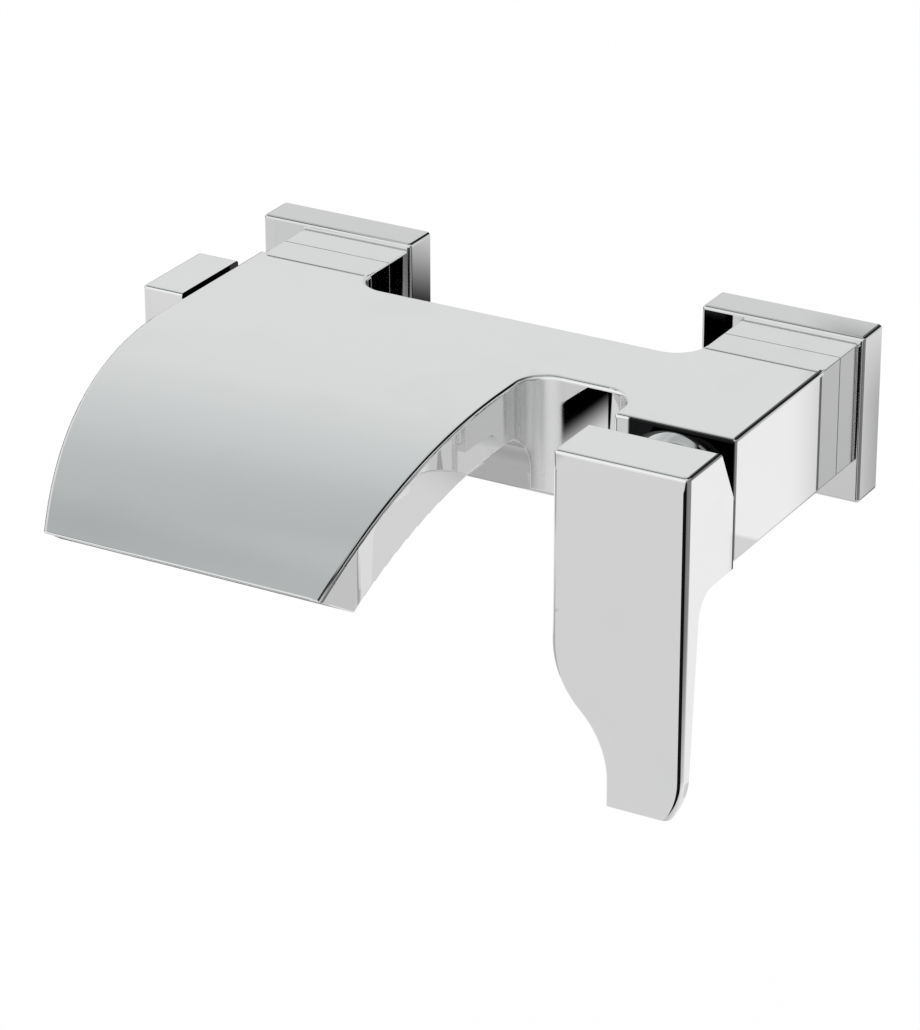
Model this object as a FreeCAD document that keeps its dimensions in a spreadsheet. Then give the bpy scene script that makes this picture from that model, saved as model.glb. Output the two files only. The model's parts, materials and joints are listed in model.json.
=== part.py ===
import FreeCAD, Part
import math
import os

import Sketcher

# Wall-mounted single-lever bath mixer with a wide falling spout and a diverter knob.
# Frame: origin on the wall plane midway between the two inlets, +X to the right along the wall,
# +Y into the wall, +Z up. Lengths are millimetres and angles are degrees.

SIZES = [
    # Wall connection
    ("inlet_spacing", 150.0, "centre distance of the two supply pipes"),
    ("flange_size", 52.0, "side of a square wall flange"),
    ("flange_depth", 12.0, "how far a wall flange stands off the wall"),
    ("flange_wall", 2.2, "side wall of a wall flange"),
    ("flange_front", 2.5, "front plate of a wall flange"),
    ("flange_round", 1.2, "rounding of a wall flange's outer edges"),
    ("cover_length", 11.5, "length of a square nut cover"),
    ("cover_step", 0.33, "nut cover inside the outline of its arm"),
    ("cover_wall", 1.7, "thinnest wall of a nut cover"),
    ("cover_round", 0.5, "rounding of a nut cover's long edges"),
    ("cover_end_round", 0.25, "rounding of a nut cover's two ends"),
    ("tail_radius", 10.48, "G1/2 thread that screws into the wall"),
    ("tail_length", 18.0, "length of that thread"),
    ("union_collar_width", 2.0, "spanner collar of the union beyond its thread"),
    ("union_collar_depth", 4.0, "length of the spanner collar"),
    ("washer_thickness", 2.0, "filter washer between union and nipple"),
    ("nipple_flange", 2.5, "thickness of the inlet nipple's flange"),
    ("nipple_step", 1.4, "flange of the nipple inside the nut's thread"),
    ("nipple_shoulder", 2.02, "flange of the nipple beyond its neck"),
    ("nipple_wall", 3.3, "wall of the nipple round the waterway"),
    ("nipple_grip", 11.0, "thread of the nipple in the body"),
    ("nut_wall", 3.1, "wall of the union nut outside its thread"),
    ("nut_lip", 3.0, "inward lip of the union nut"),
    ("nut_clear", 2.5, "room between the nut and the body"),
    ("nut_start", 1.0, "room between the nut and the union's collar"),
    ("nut_room", 0.6, "room round the nut in flange and cover"),
    # Body casting
    ("body_height", 38.0, "height of arms and bridge"),
    ("body_round", 1.3, "rounding of the body's outer edges"),
    ("lip_round", 0.4, "rounding round the outlet face of the spout"),
    ("arm_width", 38.0, "width of the right arm"),
    ("left_margin", 1.3, "how much wider the left arm is on its outer side"),
    ("corner_radius", 9.3, "inner corners behind the bridge"),
    ("bridge_depth", 32.0, "depth of the bridge from back to front"),
    ("arm_nose", 15.2, "how far the right arm stands in front of the bridge"),
    ("notch_radius", 9.5, "inner corners in front of the bridge"),
    ("spout_side", 22.0, "right side of the spout from the centre plane"),
    ("spout_length", 116.6, "spout from the bridge front to its lip"),
    ("spout_flat", 16.2, "level start of the spout's top"),
    ("spout_top_radius", 223.0, "fall of the spout's top"),
    ("spout_side_flat", 7.2, "straight start of the spout's left side"),
    ("spout_side_radius", 227.0, "sweep of the spout's left side"),
    ("spout_thickness", 17.5, "spout from top to underside"),
    ("outlet_angle", 31.0, "slope of the outlet face below the level"),
    ("under_radius", 14.5, "hollow corner between underside and bridge"),
    ("spout_wall", 2.5, "walls of the hollow spout"),
    ("plate_thickness", 2.5, "base plate that closes the spout from below"),
    ("plate_ledge", 15.2, "start of the base plate in front of the bridge"),
    ("strip_depth", 6.0, "flow strip along the water"),
    ("strip_recess", 1.5, "flow strip behind the outlet face"),
    ("strip_slot", 3.0, "width of one slot of the flow strip"),
    ("strip_pitch", 5.0, "spacing of the slots"),
    ("strip_slots", 15.0, "number of slots"),
    ("strip_slot_height", 7.0, "height of a slot"),
    ("seam_gap", 0.05, "soldered or screwed seam"),
    # Waterways in the body
    ("duct_radius", 3.5, "cross drillings in the bridge"),
    ("port_radius", 2.6, "three ports of the valve"),
    ("port_side", 5.5, "hot and cold port from the valve axis"),
    ("port_rise", 4.0, "hot and cold port above the valve axis"),
    ("port_drop", 6.0, "mixed port below the valve axis"),
    # Valve cartridge, measured along its axis from the pivot
    ("pivot_inset", 6.0, "lift pivot behind the right arm's front"),
    ("dome_radius", 18.3, "ball-shaped dome about the pivot"),
    ("dome_wall", 1.5, "wall of the dome"),
    ("dome_mouth", 11.5, "opening of the dome round the spindle"),
    ("dome_skirt", 3.0, "skirt of the dome in the body"),
    ("dome_seat", 1.1, "seat of the dome on the arm's front"),
    ("nut_ring_room", 0.65, "room between the cartridge nut and the carrier's stem"),
    ("nut_ring_length", 4.8, "length of the cartridge nut"),
    ("housing_radius", 13.5, "outside of the cartridge"),
    ("housing_wall", 1.5, "side wall of the cartridge housing"),
    ("housing_front", 2.2, "front wall of the cartridge housing"),
    ("chamber_step", 1.05, "thread of the cartridge nut beyond the chamber"),
    ("base_thickness", 3.5, "cartridge base"),
    ("seal_thickness", 0.5, "pressed port seals"),
    ("seal_width", 1.0, "width of a port seal"),
    ("disc_thickness", 3.0, "fixed ceramic disc"),
    ("moving_thickness", 4.0, "moving ceramic disc"),
    ("moving_radius", 9.0, "moving ceramic disc"),
    ("pocket_depth", 2.1, "pocket of the moving disc for the spindle's tip"),
    ("carrier_plate", 3.3, "plate of the turning carrier"),
    ("stem_radius", 8.0, "stem of the turning carrier"),
    ("stem_front", 7.0, "stem in front of the pivot"),
    ("pin_radius", 1.5, "lift pivot pin"),
    ("running_gap", 0.05, "running fit"),
    ("free_gap", 0.35, "free clearance between moving pieces"),
    # Lever
    ("lift_angle", 22.0, "travel of the lever when it is lifted"),
    ("lever_left", 21.75, "left side of the lever's block from the valve axis"),
    ("lever_right", 19.75, "right side of the lever's block from the valve axis"),
    ("lever_gap", 1.0, "lever behind its block to the arm"),
    ("lever_depth", 29.0, "lever block from back to front"),
    ("lever_drop", 86.9, "lever below the valve axis"),
    ("lever_skirt", 0.5, "lever block below the body's underside"),
    ("relief_start", 1.0, "start of the sloping back above the axis"),
    ("relief_angle", 26.5, "slope of the lever's back from the upright"),
    ("blade_root", 8.2, "thickness of the blade under the block"),
    ("blade_tip", 4.6, "thickness of the blade above its curved tip"),
    ("blade_end", 2.6, "thickness of the blade at its lower end"),
    ("blade_fillet", 8.0, "hollow corner between block and blade"),
    ("sweep_start", 39.0, "start of the swept edge below the axis"),
    ("sweep_height", 40.5, "height of the swept edge"),
    ("sweep_width", 17.5, "how much narrower the blade becomes"),
    ("tip_height", 13.0, "height of the curved right corner and back of the tip"),
    ("tip_inset", 4.0, "how far the curved corner comes in at the lower end"),
    ("lever_edge", 2.0, "rounding of the lever's long right edge and tip"),
    ("lever_round", 1.2, "rounding of the lever's other edges"),
    ("cavity_gap", 0.5, "lever round the dome"),
    ("spindle_size", 7.0, "square spindle"),
    ("spindle_reach", 27.0, "spindle in front of the pivot"),
    ("tail_width", 4.0, "tail of the spindle"),
    ("tail_reach", 9.4, "tail of the spindle behind the pivot"),
    ("grub_radius", 2.5, "grub screw of the lever"),
    ("grub_length", 8.0, "grub screw of the lever"),
    ("plug_length", 3.0, "plug over the lever's grub screw"),
    # Diverter
    ("knob_gap", 1.5, "knob beside the body"),
    ("knob_thickness", 14.0, "knob along its axis"),
    ("knob_margin", 0.5, "knob smaller than the bridge section"),
    ("knob_round", 1.0, "rounding of the knob's edges"),
    ("bush_radius", 9.0, "bush of the diverter in the body"),
    ("bush_flange", 1.0, "flange of the bush"),
    ("bush_flange_width", 2.5, "flange of the bush beyond its sleeve"),
    ("bush_length", 16.3, "sleeve of the bush"),
    ("bore_length", 22.3, "diverter bore in the body"),
    ("seal_section", 1.2, "section of the round seals"),
    ("seat_thickness", 2.5, "fixed disc of the diverter"),
    ("rotor_thickness", 3.0, "turning disc of the diverter"),
    ("spindle_radius", 5.0, "spindle of the diverter"),
    ("spindle_grip", 10.2, "spindle in the knob"),
    ("groove_depth", 1.0, "seal grooves of the spindle"),
    ("knob_grub_radius", 2.0, "grub screw of the knob"),
    ("knob_grub_length", 7.0, "grub screw of the knob"),
    # Shower outlet
    ("outlet_radius", 10.48, "G1/2 thread for the shower hose"),
    ("outlet_length", 12.0, "length of that thread"),
    ("outlet_flange", 2.0, "flange of the outlet nipple"),
    ("outlet_flange_radius", 11.8, "flange of the outlet nipple"),
    ("outlet_grip", 8.5, "outlet nipple in the body"),
    ("outlet_grip_radius", 8.9, "outlet nipple in the body"),
    ("outlet_bore", 6.0, "waterway of the outlet nipple"),
    ("outlet_inset", 15.3, "outlet axis from the body's left side"),
]

doc = FreeCAD.newDocument("BathMixer")
sheet = doc.addObject("Spreadsheet::Sheet", "Sizes")
for row, (alias, value, note) in enumerate(SIZES, start=1):
    sheet.set(f"A{row}", str(value))
    sheet.setAlias(f"A{row}", alias)
    sheet.set(f"B{row}", note)
doc.recompute()


class Size:
    """A number that keeps the sheet expression it is worked out from."""

    def __init__(self, value, text):
        self.value = value
        self.text = text

    def __add__(self, other):
        other = as_size(other)
        return Size(self.value + other.value, f"({self.text} + {other.text})")

    def __sub__(self, other):
        other = as_size(other)
        return Size(self.value - other.value, f"({self.text} - {other.text})")

    def __mul__(self, other):
        other = as_size(other)
        return Size(self.value * other.value, f"({self.text} * {other.text})")

    def __truediv__(self, other):
        other = as_size(other)
        return Size(self.value / other.value, f"({self.text} / {other.text})")

    def __neg__(self):
        return Size(-self.value, f"(0 - {self.text})")

    def __radd__(self, other):
        return as_size(other) + self

    def __rsub__(self, other):
        return as_size(other) - self

    def __rmul__(self, other):
        return as_size(other) * self


def as_size(number):
    return number if isinstance(number, Size) else Size(float(number), repr(float(number)))


def size(alias):
    return Size(float(sheet.get(alias)), f"Sizes.{alias}")


def root(number):
    return Size(math.sqrt(number.value), f"sqrt({number.text})")


def tangent(angle):
    return Size(math.tan(math.radians(angle.value)), f"tan({angle.text})")


def sine(angle):
    return Size(math.sin(math.radians(angle.value)), f"sin({angle.text})")


def cosine(angle):
    return Size(math.cos(math.radians(angle.value)), f"cos({angle.text})")


def least(first, second):
    return Size(min(first.value, second.value), f"min({first.text}; {second.text})")


def leg(long_side, short_side):
    """Other short side of a right-angled triangle."""
    return root(long_side * long_side - short_side * short_side)


# Places worked out from the driving sizes

inlet_x = size("inlet_spacing") / 2
half_height = size("body_height") / 2
arm_back = size("flange_depth") + size("cover_length")
bridge_back = arm_back + size("corner_radius")
bridge_front = bridge_back + size("bridge_depth")
arm_front = bridge_front + size("arm_nose")
arm_inner = inlet_x - size("arm_width") / 2
arm_outer = inlet_x + size("arm_width") / 2
left_side = arm_outer + size("left_margin")

cover_half_width = size("arm_width") / 2 - size("cover_step")
cover_half_height = half_height - size("cover_step")
nut_hole = least(cover_half_width, cover_half_height) - size("cover_wall")
nut_radius = nut_hole - size("nut_room")
# The union is the largest that fits the nut: G3/4 in this arm
nut_inner = nut_radius - size("nut_wall")
union_thread = nut_inner - size("seam_gap")
nut_end = arm_back - size("nut_clear")
nipple_seat = nut_end - size("nut_lip")
nipple_face = nipple_seat - size("nipple_flange")
union_end = nipple_face - size("washer_thickness")
nipple_flange_radius = union_thread - size("nipple_step")
neck_radius = nipple_flange_radius - size("nipple_shoulder")
union_bore = neck_radius - size("nipple_wall")
nipple_end = arm_back + size("nipple_grip")

spout_reach = bridge_front + size("spout_length")
top_start = bridge_front + size("spout_flat")
top_centre_z = half_height - size("spout_top_radius")
side_start = bridge_front + size("spout_side_flat")
side_centre_x = size("spout_side_radius") - left_side
under_arc = size("spout_top_radius") - size("spout_thickness")
under_z = half_height - size("spout_thickness")
lip_z = top_centre_z + leg(size("spout_top_radius"), spout_reach - top_start)
lip_left = side_centre_x - leg(size("spout_side_radius"), spout_reach - side_start)
plate_arc = under_arc + size("plate_thickness")
ceiling_arc = size("spout_top_radius") - size("spout_wall")
plate_start = bridge_front + size("plate_ledge")
past_lip = spout_reach + size("spout_wall")
below_body = half_height + size("spout_wall")
spout_split = (size("spout_side") + arm_inner) / 2

pivot = arm_front - size("pivot_inset")
dome_base = leg(size("dome_radius"), size("pivot_inset"))
skirt_radius = dome_base - size("dome_seat")
ring_front = arm_front - size("dome_skirt")
ring_back = ring_front - size("nut_ring_length")
chamber_radius = size("housing_radius") + size("seam_gap") * 2
ring_radius = chamber_radius + size("chamber_step")
housing_inner = size("housing_radius") - size("housing_wall")
plate_front = ring_back - size("housing_front") - size("free_gap")
carrier_back = plate_front - size("carrier_plate")
moving_front = carrier_back - size("free_gap")
moving_back = moving_front - size("moving_thickness")
disc_front = moving_back - size("seam_gap")
disc_back = disc_front - size("disc_thickness")
base_back = disc_back - size("base_thickness")
chamber_floor = base_back - size("seal_thickness")

lever_back = arm_front + size("lever_gap")
lever_front = lever_back + size("lever_depth")
block_bottom = half_height + size("lever_skirt")
blade_back = lever_front - size("blade_root")
cavity_radius = size("dome_radius") + size("cavity_gap")
socket_end = pivot + size("spindle_reach") + size("free_gap")
socket_half = size("spindle_size") / 2 + size("seam_gap")
grub_y = (pivot + cavity_radius + socket_end) / 2

axis_y = (bridge_back + bridge_front) / 2
knob_inner = left_side + size("knob_gap")
knob_outer = knob_inner + size("knob_thickness")
bore_end = left_side - size("bore_length")
bush_end = left_side - size("bush_length")
rotor_back = bore_end + size("seat_thickness") + size("free_gap")
rotor_front = rotor_back + size("rotor_thickness")
bush_bore = size("spindle_radius") + size("running_gap")
spindle_end = knob_inner + size("spindle_grip")
outlet_x = left_side - size("outlet_inset")

OUT_OF_WALL = FreeCAD.Rotation(FreeCAD.Vector(1, 0, 0), 90)
TO_THE_LEFT = FreeCAD.Rotation(FreeCAD.Vector(0, 1, 0), -90)
TO_THE_RIGHT = FreeCAD.Rotation(FreeCAD.Vector(0, 1, 0), 90)
DOWNWARDS = FreeCAD.Rotation(FreeCAD.Vector(1, 0, 0), 180)
UPRIGHT = FreeCAD.Rotation()

COUNTERCLOCKWISE = 1
CLOCKWISE = -1

nodes = []


# Building blocks


def keep(piece, label):
    """Enter a finished piece under its own name."""
    piece.Label = label
    nodes.append(piece)
    return piece


def place(piece, x=0, y=0, z=0, turn=UPRIGHT):
    """Turn a piece and bind its position to the sheet."""
    spot = {"x": as_size(x), "y": as_size(y), "z": as_size(z)}
    base = FreeCAD.Vector(*(step.value for step in spot.values()))
    piece.Placement = FreeCAD.Placement(base, turn)
    for letter, step in spot.items():
        piece.setExpression(f"Placement.Base.{letter}", step.text)
    return piece


def new_body(label):
    return doc.addObject("PartDesign::Body", label)


def new_sketch(body, role, offset=None):
    """Sketch on one of the body's own origin planes, moved along its normal."""
    sketch = body.newObject("Sketcher::SketchObject", f"{body.Name}_outline")
    plane = next(part for part in body.Origin.OriginFeatures if part.Role == role)
    sketch.AttachmentSupport = [(plane, "")]
    sketch.MapMode = "FlatFace"
    if offset is not None:
        sketch.setExpression("AttachmentOffset.Base.z", as_size(offset).text)
    return sketch


def bind(sketch, constraint, name, number):
    index = sketch.addConstraint(constraint)
    sketch.renameConstraint(index, name)
    sketch.setExpression(f"Constraints.{name}", number.text)


def add_curve(sketch, start, end, bend):
    """Line, or an arc of under a half circle; gives its index, start point and end point."""
    if bend is None:
        return sketch.addGeometry(Part.LineSegment(start, end), False), 1, 2
    radius, direction = bend
    chord = end - start
    across = FreeCAD.Vector(-chord.y, chord.x, 0).normalize()
    rise = math.sqrt(radius.value ** 2 - (chord.Length / 2) ** 2)
    centre = (start + end) / 2 + across * (rise * direction)
    first, last = (start, end) if direction == COUNTERCLOCKWISE else (end, start)
    begin = math.atan2(first.y - centre.y, first.x - centre.x)
    finish = math.atan2(last.y - centre.y, last.x - centre.x)
    if finish < begin:
        finish += 2 * math.pi
    circle = Part.Circle(centre, FreeCAD.Vector(0, 0, 1), radius.value)
    index = sketch.addGeometry(Part.ArcOfCircle(circle, begin, finish), False)
    return (index, 1, 2) if direction == COUNTERCLOCKWISE else (index, 2, 1)


def draw(sketch, corners):
    """Closed outline of corners (across, up) with an optional bend to the next corner."""
    corners = [(as_size(corner[0]), as_size(corner[1]), *corner[2:]) for corner in corners]
    spots = [FreeCAD.Vector(corner[0].value, corner[1].value, 0) for corner in corners]
    curves = []
    for here, corner in enumerate(corners):
        bend = corner[2] if len(corner) > 2 else None
        curves.append(add_curve(sketch, spots[here], spots[(here + 1) % len(spots)], bend))
    for here, (index, start, end) in enumerate(curves):
        after, after_start, _ = curves[(here + 1) % len(curves)]
        sketch.addConstraint(Sketcher.Constraint("Coincident", index, end, after, after_start))
    for here, (index, start, end) in enumerate(curves):
        across, up = corners[here][:2]
        along = Sketcher.Constraint("DistanceX", -1, 1, index, start, across.value)
        bind(sketch, along, f"across_{here}", across)
        rise = Sketcher.Constraint("DistanceY", -1, 1, index, start, up.value)
        bind(sketch, rise, f"up_{here}", up)
        if len(corners[here]) > 2:
            radius = corners[here][2][0]
            bind(sketch, Sketcher.Constraint("Radius", index, radius.value), f"bend_{here}", radius)


def draw_circle(sketch, across, up, radius):
    centre = FreeCAD.Vector(across.value, up.value, 0)
    index = sketch.addGeometry(Part.Circle(centre, FreeCAD.Vector(0, 0, 1), radius.value), False)
    number = sketch.GeometryCount
    along = Sketcher.Constraint("DistanceX", -1, 1, index, 3, across.value)
    bind(sketch, along, f"across_{number}", across)
    rise = Sketcher.Constraint("DistanceY", -1, 1, index, 3, up.value)
    bind(sketch, rise, f"up_{number}", up)
    bind(sketch, Sketcher.Constraint("Radius", index, radius.value), f"bend_{number}", radius)


def box_corners(half_width, half_rise):
    low = [(-half_width, -half_rise), (half_width, -half_rise)]
    return low + [(half_width, half_rise), (-half_width, half_rise)]


def pad(body, sketch, length, both_ways=False):
    feature = body.newObject("PartDesign::Pad", f"{body.Name}_pad")
    feature.Profile = sketch
    feature.setExpression("Length", as_size(length).text)
    feature.Midplane = both_ways
    doc.recompute()
    return feature


def pocket(body, sketch, length, reverse=False):
    """Cut along the sketch's normal and make sure that material went."""
    before = body.Shape.Volume
    feature = body.newObject("PartDesign::Pocket", f"{body.Name}_pocket")
    feature.Profile = sketch
    feature.setExpression("Length", as_size(length).text)
    feature.Reversed = reverse
    doc.recompute()
    if not body.Shape.Volume < before:
        raise RuntimeError(f"{feature.Name} cut nothing")
    return feature


def round_edges(body, radius, chosen):
    """Fillet the edges of the body whose end points pass a test."""
    base = body.Tip
    names = [f"Edge{index}" for index, edge in enumerate(base.Shape.Edges, start=1) if chosen(edge)]
    fillet = body.newObject("PartDesign::Fillet", f"{body.Name}_rounding")
    fillet.Base = (base, names)
    fillet.setExpression("Radius", radius.text)
    doc.recompute()
    return fillet


def upright_edge(edge):
    return near(edge.BoundBox.XLength + edge.BoundBox.YLength, 0)


def near(first, second):
    return abs(first - second) < 1e-4


def ends_where(edge, test):
    return all(test(vertex.Point) for vertex in edge.Vertexes)


def turned(label, corners):
    """Turned piece: corners are (radius, along the axis), and the axis is the piece's own Z."""
    body = new_body(label)
    sketch = new_sketch(body, "XZ_Plane")
    draw(sketch, corners)
    feature = body.newObject("PartDesign::Revolution", f"{label}_turning")
    feature.Profile = sketch
    feature.ReferenceAxis = (sketch, ["V_Axis"])
    feature.Angle = 360
    doc.recompute()
    return body


def ring(label, inner, outer, low, high):
    return turned(label, [(inner, low), (outer, low), (outer, high), (inner, high)])


def rod(label, radius, length):
    piece = doc.addObject("Part::Cylinder", label)
    piece.setExpression("Radius", as_size(radius).text)
    piece.setExpression("Height", as_size(length).text)
    return piece


def block(label, width, depth, height):
    piece = doc.addObject("Part::Box", label)
    for side, length in (("Length", width), ("Width", depth), ("Height", height)):
        piece.setExpression(side, as_size(length).text)
    return piece


def joined(label, pieces):
    group = doc.addObject("Part::MultiFuse", label)
    group.Shapes = pieces
    doc.recompute()
    return group


def cut(label, base, tools):
    """Take the tools away from the base and make sure that material went."""
    piece = doc.addObject("Part::Cut", label)
    piece.Base = base
    piece.Tool = tools[0] if len(tools) == 1 else joined(f"{label}_tools", tools)
    doc.recompute()
    if not piece.Shape.Volume < base.Shape.Volume:
        raise RuntimeError(f"{label} lost nothing")
    return piece


def shared(label, first, second):
    piece = doc.addObject("Part::Common", label)
    piece.Base = first
    piece.Tool = second
    doc.recompute()
    return piece


# Wall connection, once for each inlet


def wall_flange(side, x):
    body = new_body(f"{side}_wall_flange")
    half = size("flange_size") / 2
    sketch = new_sketch(body, "XY_Plane")
    draw(sketch, box_corners(half, half))
    pad(body, sketch, size("flange_depth"))
    inside = half - size("flange_wall")
    hollow = new_sketch(body, "XY_Plane")
    draw(hollow, box_corners(inside, inside))
    pocket(body, hollow, size("flange_depth") - size("flange_front"), reverse=True)
    hole = new_sketch(body, "XY_Plane")
    draw_circle(hole, as_size(0), as_size(0), nut_hole)
    pocket(body, hole, size("flange_depth"), reverse=True)

    def outer(edge):
        wide = ends_where(edge, lambda p: near(max(abs(p.x), abs(p.y)), half.value))
        return wide and not ends_where(edge, lambda p: near(p.z, 0))

    round_edges(body, size("flange_round"), outer)
    keep(place(body, x, turn=OUT_OF_WALL), f"{side}_wall_flange")


def nut_cover(side, x):
    body = new_body(f"{side}_nut_cover")
    sketch = new_sketch(body, "XY_Plane", size("flange_depth"))
    draw(sketch, box_corners(cover_half_width, cover_half_height))
    pad(body, sketch, size("cover_length"))
    hole = new_sketch(body, "XY_Plane", size("flange_depth"))
    draw_circle(hole, as_size(0), as_size(0), nut_hole)
    pocket(body, hole, size("cover_length"), reverse=True)

    def long_edge(edge):
        along = near(edge.BoundBox.XLength + edge.BoundBox.YLength, 0)
        return along and ends_where(edge, lambda p: near(abs(p.x), cover_half_width.value))

    round_edges(body, size("cover_round"), long_edge)

    def end_edge(edge):
        ends = (size("flange_depth").value, arm_back.value)
        at_end = any(ends_where(edge, lambda p: near(p.z, end)) for end in ends)
        outside = ends_where(edge, lambda p: near(abs(p.x), cover_half_width.value)
                             or near(abs(p.y), cover_half_height.value))
        return at_end and outside

    round_edges(body, size("cover_end_round"), end_edge)
    keep(place(body, x, turn=OUT_OF_WALL), f"{side}_nut_cover")


def union(side, x):
    collar = union_thread + size("union_collar_width")
    step = size("union_collar_depth")
    tail = size("tail_radius")
    body = turned(f"{side}_union", [
        (union_bore, -size("tail_length")), (tail, -size("tail_length")), (tail, 0), (collar, 0),
        (collar, step), (union_thread, step), (union_thread, union_end), (union_bore, union_end)])
    keep(place(body, x, turn=OUT_OF_WALL), f"{side}_union")


def union_nut(side, x):
    start = size("union_collar_depth") + size("nut_start")
    lip = neck_radius + size("free_gap")
    body = turned(f"{side}_union_nut", [
        (nut_inner, start), (nut_radius, start), (nut_radius, nut_end),
        (lip, nut_end), (lip, nipple_seat), (nut_inner, nipple_seat)])
    keep(place(body, x, turn=OUT_OF_WALL), f"{side}_union_nut")


def inlet_nipple(side, x):
    body = turned(f"{side}_inlet_nipple", [
        (union_bore, nipple_face), (nipple_flange_radius, nipple_face), (nipple_flange_radius, nipple_seat),
        (neck_radius, nipple_seat), (neck_radius, nipple_end), (union_bore, nipple_end)])
    keep(place(body, x, turn=OUT_OF_WALL), f"{side}_inlet_nipple")


def filter_washer(side, x):
    body = ring(f"{side}_filter_washer", union_bore, nipple_flange_radius, union_end, nipple_face)
    keep(place(body, x, turn=OUT_OF_WALL), f"{side}_filter_washer")


# Body casting


def body_outline():
    """Outline of arms, bridge and spout seen from above."""
    inner = size("corner_radius")
    notch = size("notch_radius")
    return [
        (-left_side, -arm_back),
        (-left_side, -side_start, (size("spout_side_radius"), COUNTERCLOCKWISE)),
        (lip_left, -spout_reach),
        (size("spout_side"), -spout_reach),
        (size("spout_side"), -(bridge_front + notch), (notch, CLOCKWISE)),
        (size("spout_side") + notch, -bridge_front),
        (arm_inner - notch, -bridge_front, (notch, CLOCKWISE)),
        (arm_inner, -(bridge_front + notch)),
        (arm_inner, -arm_front),
        (arm_outer, -arm_front),
        (arm_outer, -arm_back),
        (arm_inner, -arm_back, (inner, CLOCKWISE)),
        (arm_inner - inner, -bridge_back),
        (inner - arm_inner, -bridge_back, (inner, CLOCKWISE)),
        (-arm_inner, -arm_back),
    ]


def outlet_corner(depth_behind_face, arc):
    """Where a plane parallel to the outlet face meets an arc about the spout's top centre."""
    slope = tangent(size("outlet_angle"))
    drop = root(slope * slope + 1) * depth_behind_face
    level = lip_z - top_centre_z + drop
    offset = spout_reach - top_start
    # Distance t behind the lip solves (offset - t)^2 + (level - slope t)^2 = arc^2
    square = slope * slope + 1
    half_linear = offset + slope * level
    constant = offset * offset + level * level - arc * arc
    behind = (half_linear - root(half_linear * half_linear - square * constant)) / square
    return behind - spout_reach, lip_z + drop - slope * behind


def spout_cutters(body):
    """Cut the falling top, the underside and the outlet face out of the tall spout."""
    far = left_side + spout_split
    above = half_height + size("spout_wall")
    beyond_z = top_centre_z + leg(under_arc, past_lip - top_start)
    fall = (size("spout_top_radius"), COUNTERCLOCKWISE)
    top = new_sketch(body, "YZ_Plane", spout_split)
    draw(top, [(-top_start, half_height, fall), (-spout_reach, lip_z), (-past_lip, lip_z),
               (-past_lip, above), (-top_start, above)])
    pocket(body, top, far)
    curl = size("under_radius")
    under = new_sketch(body, "YZ_Plane", spout_split)
    draw(under, [
        (-bridge_front, -below_body), (-bridge_front, under_z - curl, (curl, COUNTERCLOCKWISE)),
        (-(bridge_front + curl), under_z), (-top_start, under_z, (under_arc, COUNTERCLOCKWISE)),
        (-past_lip, beyond_z), (-past_lip, -(below_body + size("spout_thickness"))),
        (-bridge_front, -(below_body + size("spout_thickness")))])
    pocket(body, under, far)
    back = (lip_z + below_body) / tangent(size("outlet_angle"))
    face = new_sketch(body, "YZ_Plane", spout_split)
    draw(face, [(-spout_reach, lip_z), (-past_lip, lip_z), (-past_lip, -below_body),
                (back - spout_reach, -below_body)])
    pocket(body, face, far)


def spout_plan(label, margin, back):
    """Upright block with the spout's outline, smaller by a margin."""
    sweep = size("spout_side_radius") - margin
    left = left_side - margin
    past_left = side_centre_x - leg(sweep, past_lip - side_start)
    body = new_body(label)
    sketch = new_sketch(body, "XY_Plane")
    draw(sketch, [
        (-left, -back), (-left, -side_start, (sweep, COUNTERCLOCKWISE)), (past_left, -past_lip),
        (size("spout_side") - margin, -past_lip), (size("spout_side") - margin, -back)])
    pad(body, sketch, size("body_height") * 2, both_ways=True)
    return body


def across_spout(label, corners):
    """Block with a side profile (along Y, up), wider than the spout."""
    body = new_body(label)
    sketch = new_sketch(body, "YZ_Plane", -(left_side + size("spout_wall")))
    draw(sketch, corners)
    pad(body, sketch, left_side + size("spout_wall") * 2 + size("spout_side"))
    return body


def spout_chamber():
    """Hollow of the spout, open below where the base plate closes it."""
    room_back = bridge_front + size("spout_wall")
    ceiling = half_height - size("spout_wall")
    floor = under_z + size("plate_thickness")
    low_arc = under_arc - size("plate_thickness")
    low_z = under_z - size("plate_thickness")
    far_top = top_centre_z + leg(ceiling_arc, past_lip - top_start)
    far_low = top_centre_z + leg(low_arc, past_lip - top_start)
    profile = across_spout("chamber_profile", [
        (-room_back, ceiling), (-top_start, ceiling, (ceiling_arc, COUNTERCLOCKWISE)),
        (-past_lip, far_top), (-past_lip, far_low, (low_arc, CLOCKWISE)),
        (-top_start, low_z), (-plate_start, low_z), (-plate_start, floor), (-room_back, floor)])
    plan = spout_plan("chamber_plan", size("spout_wall"), room_back)
    return shared("spout_chamber", profile, plan)


def drilling(label, radius, length, x, y, z, turn):
    return place(rod(label, radius, length), x, y, z, turn)


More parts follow.
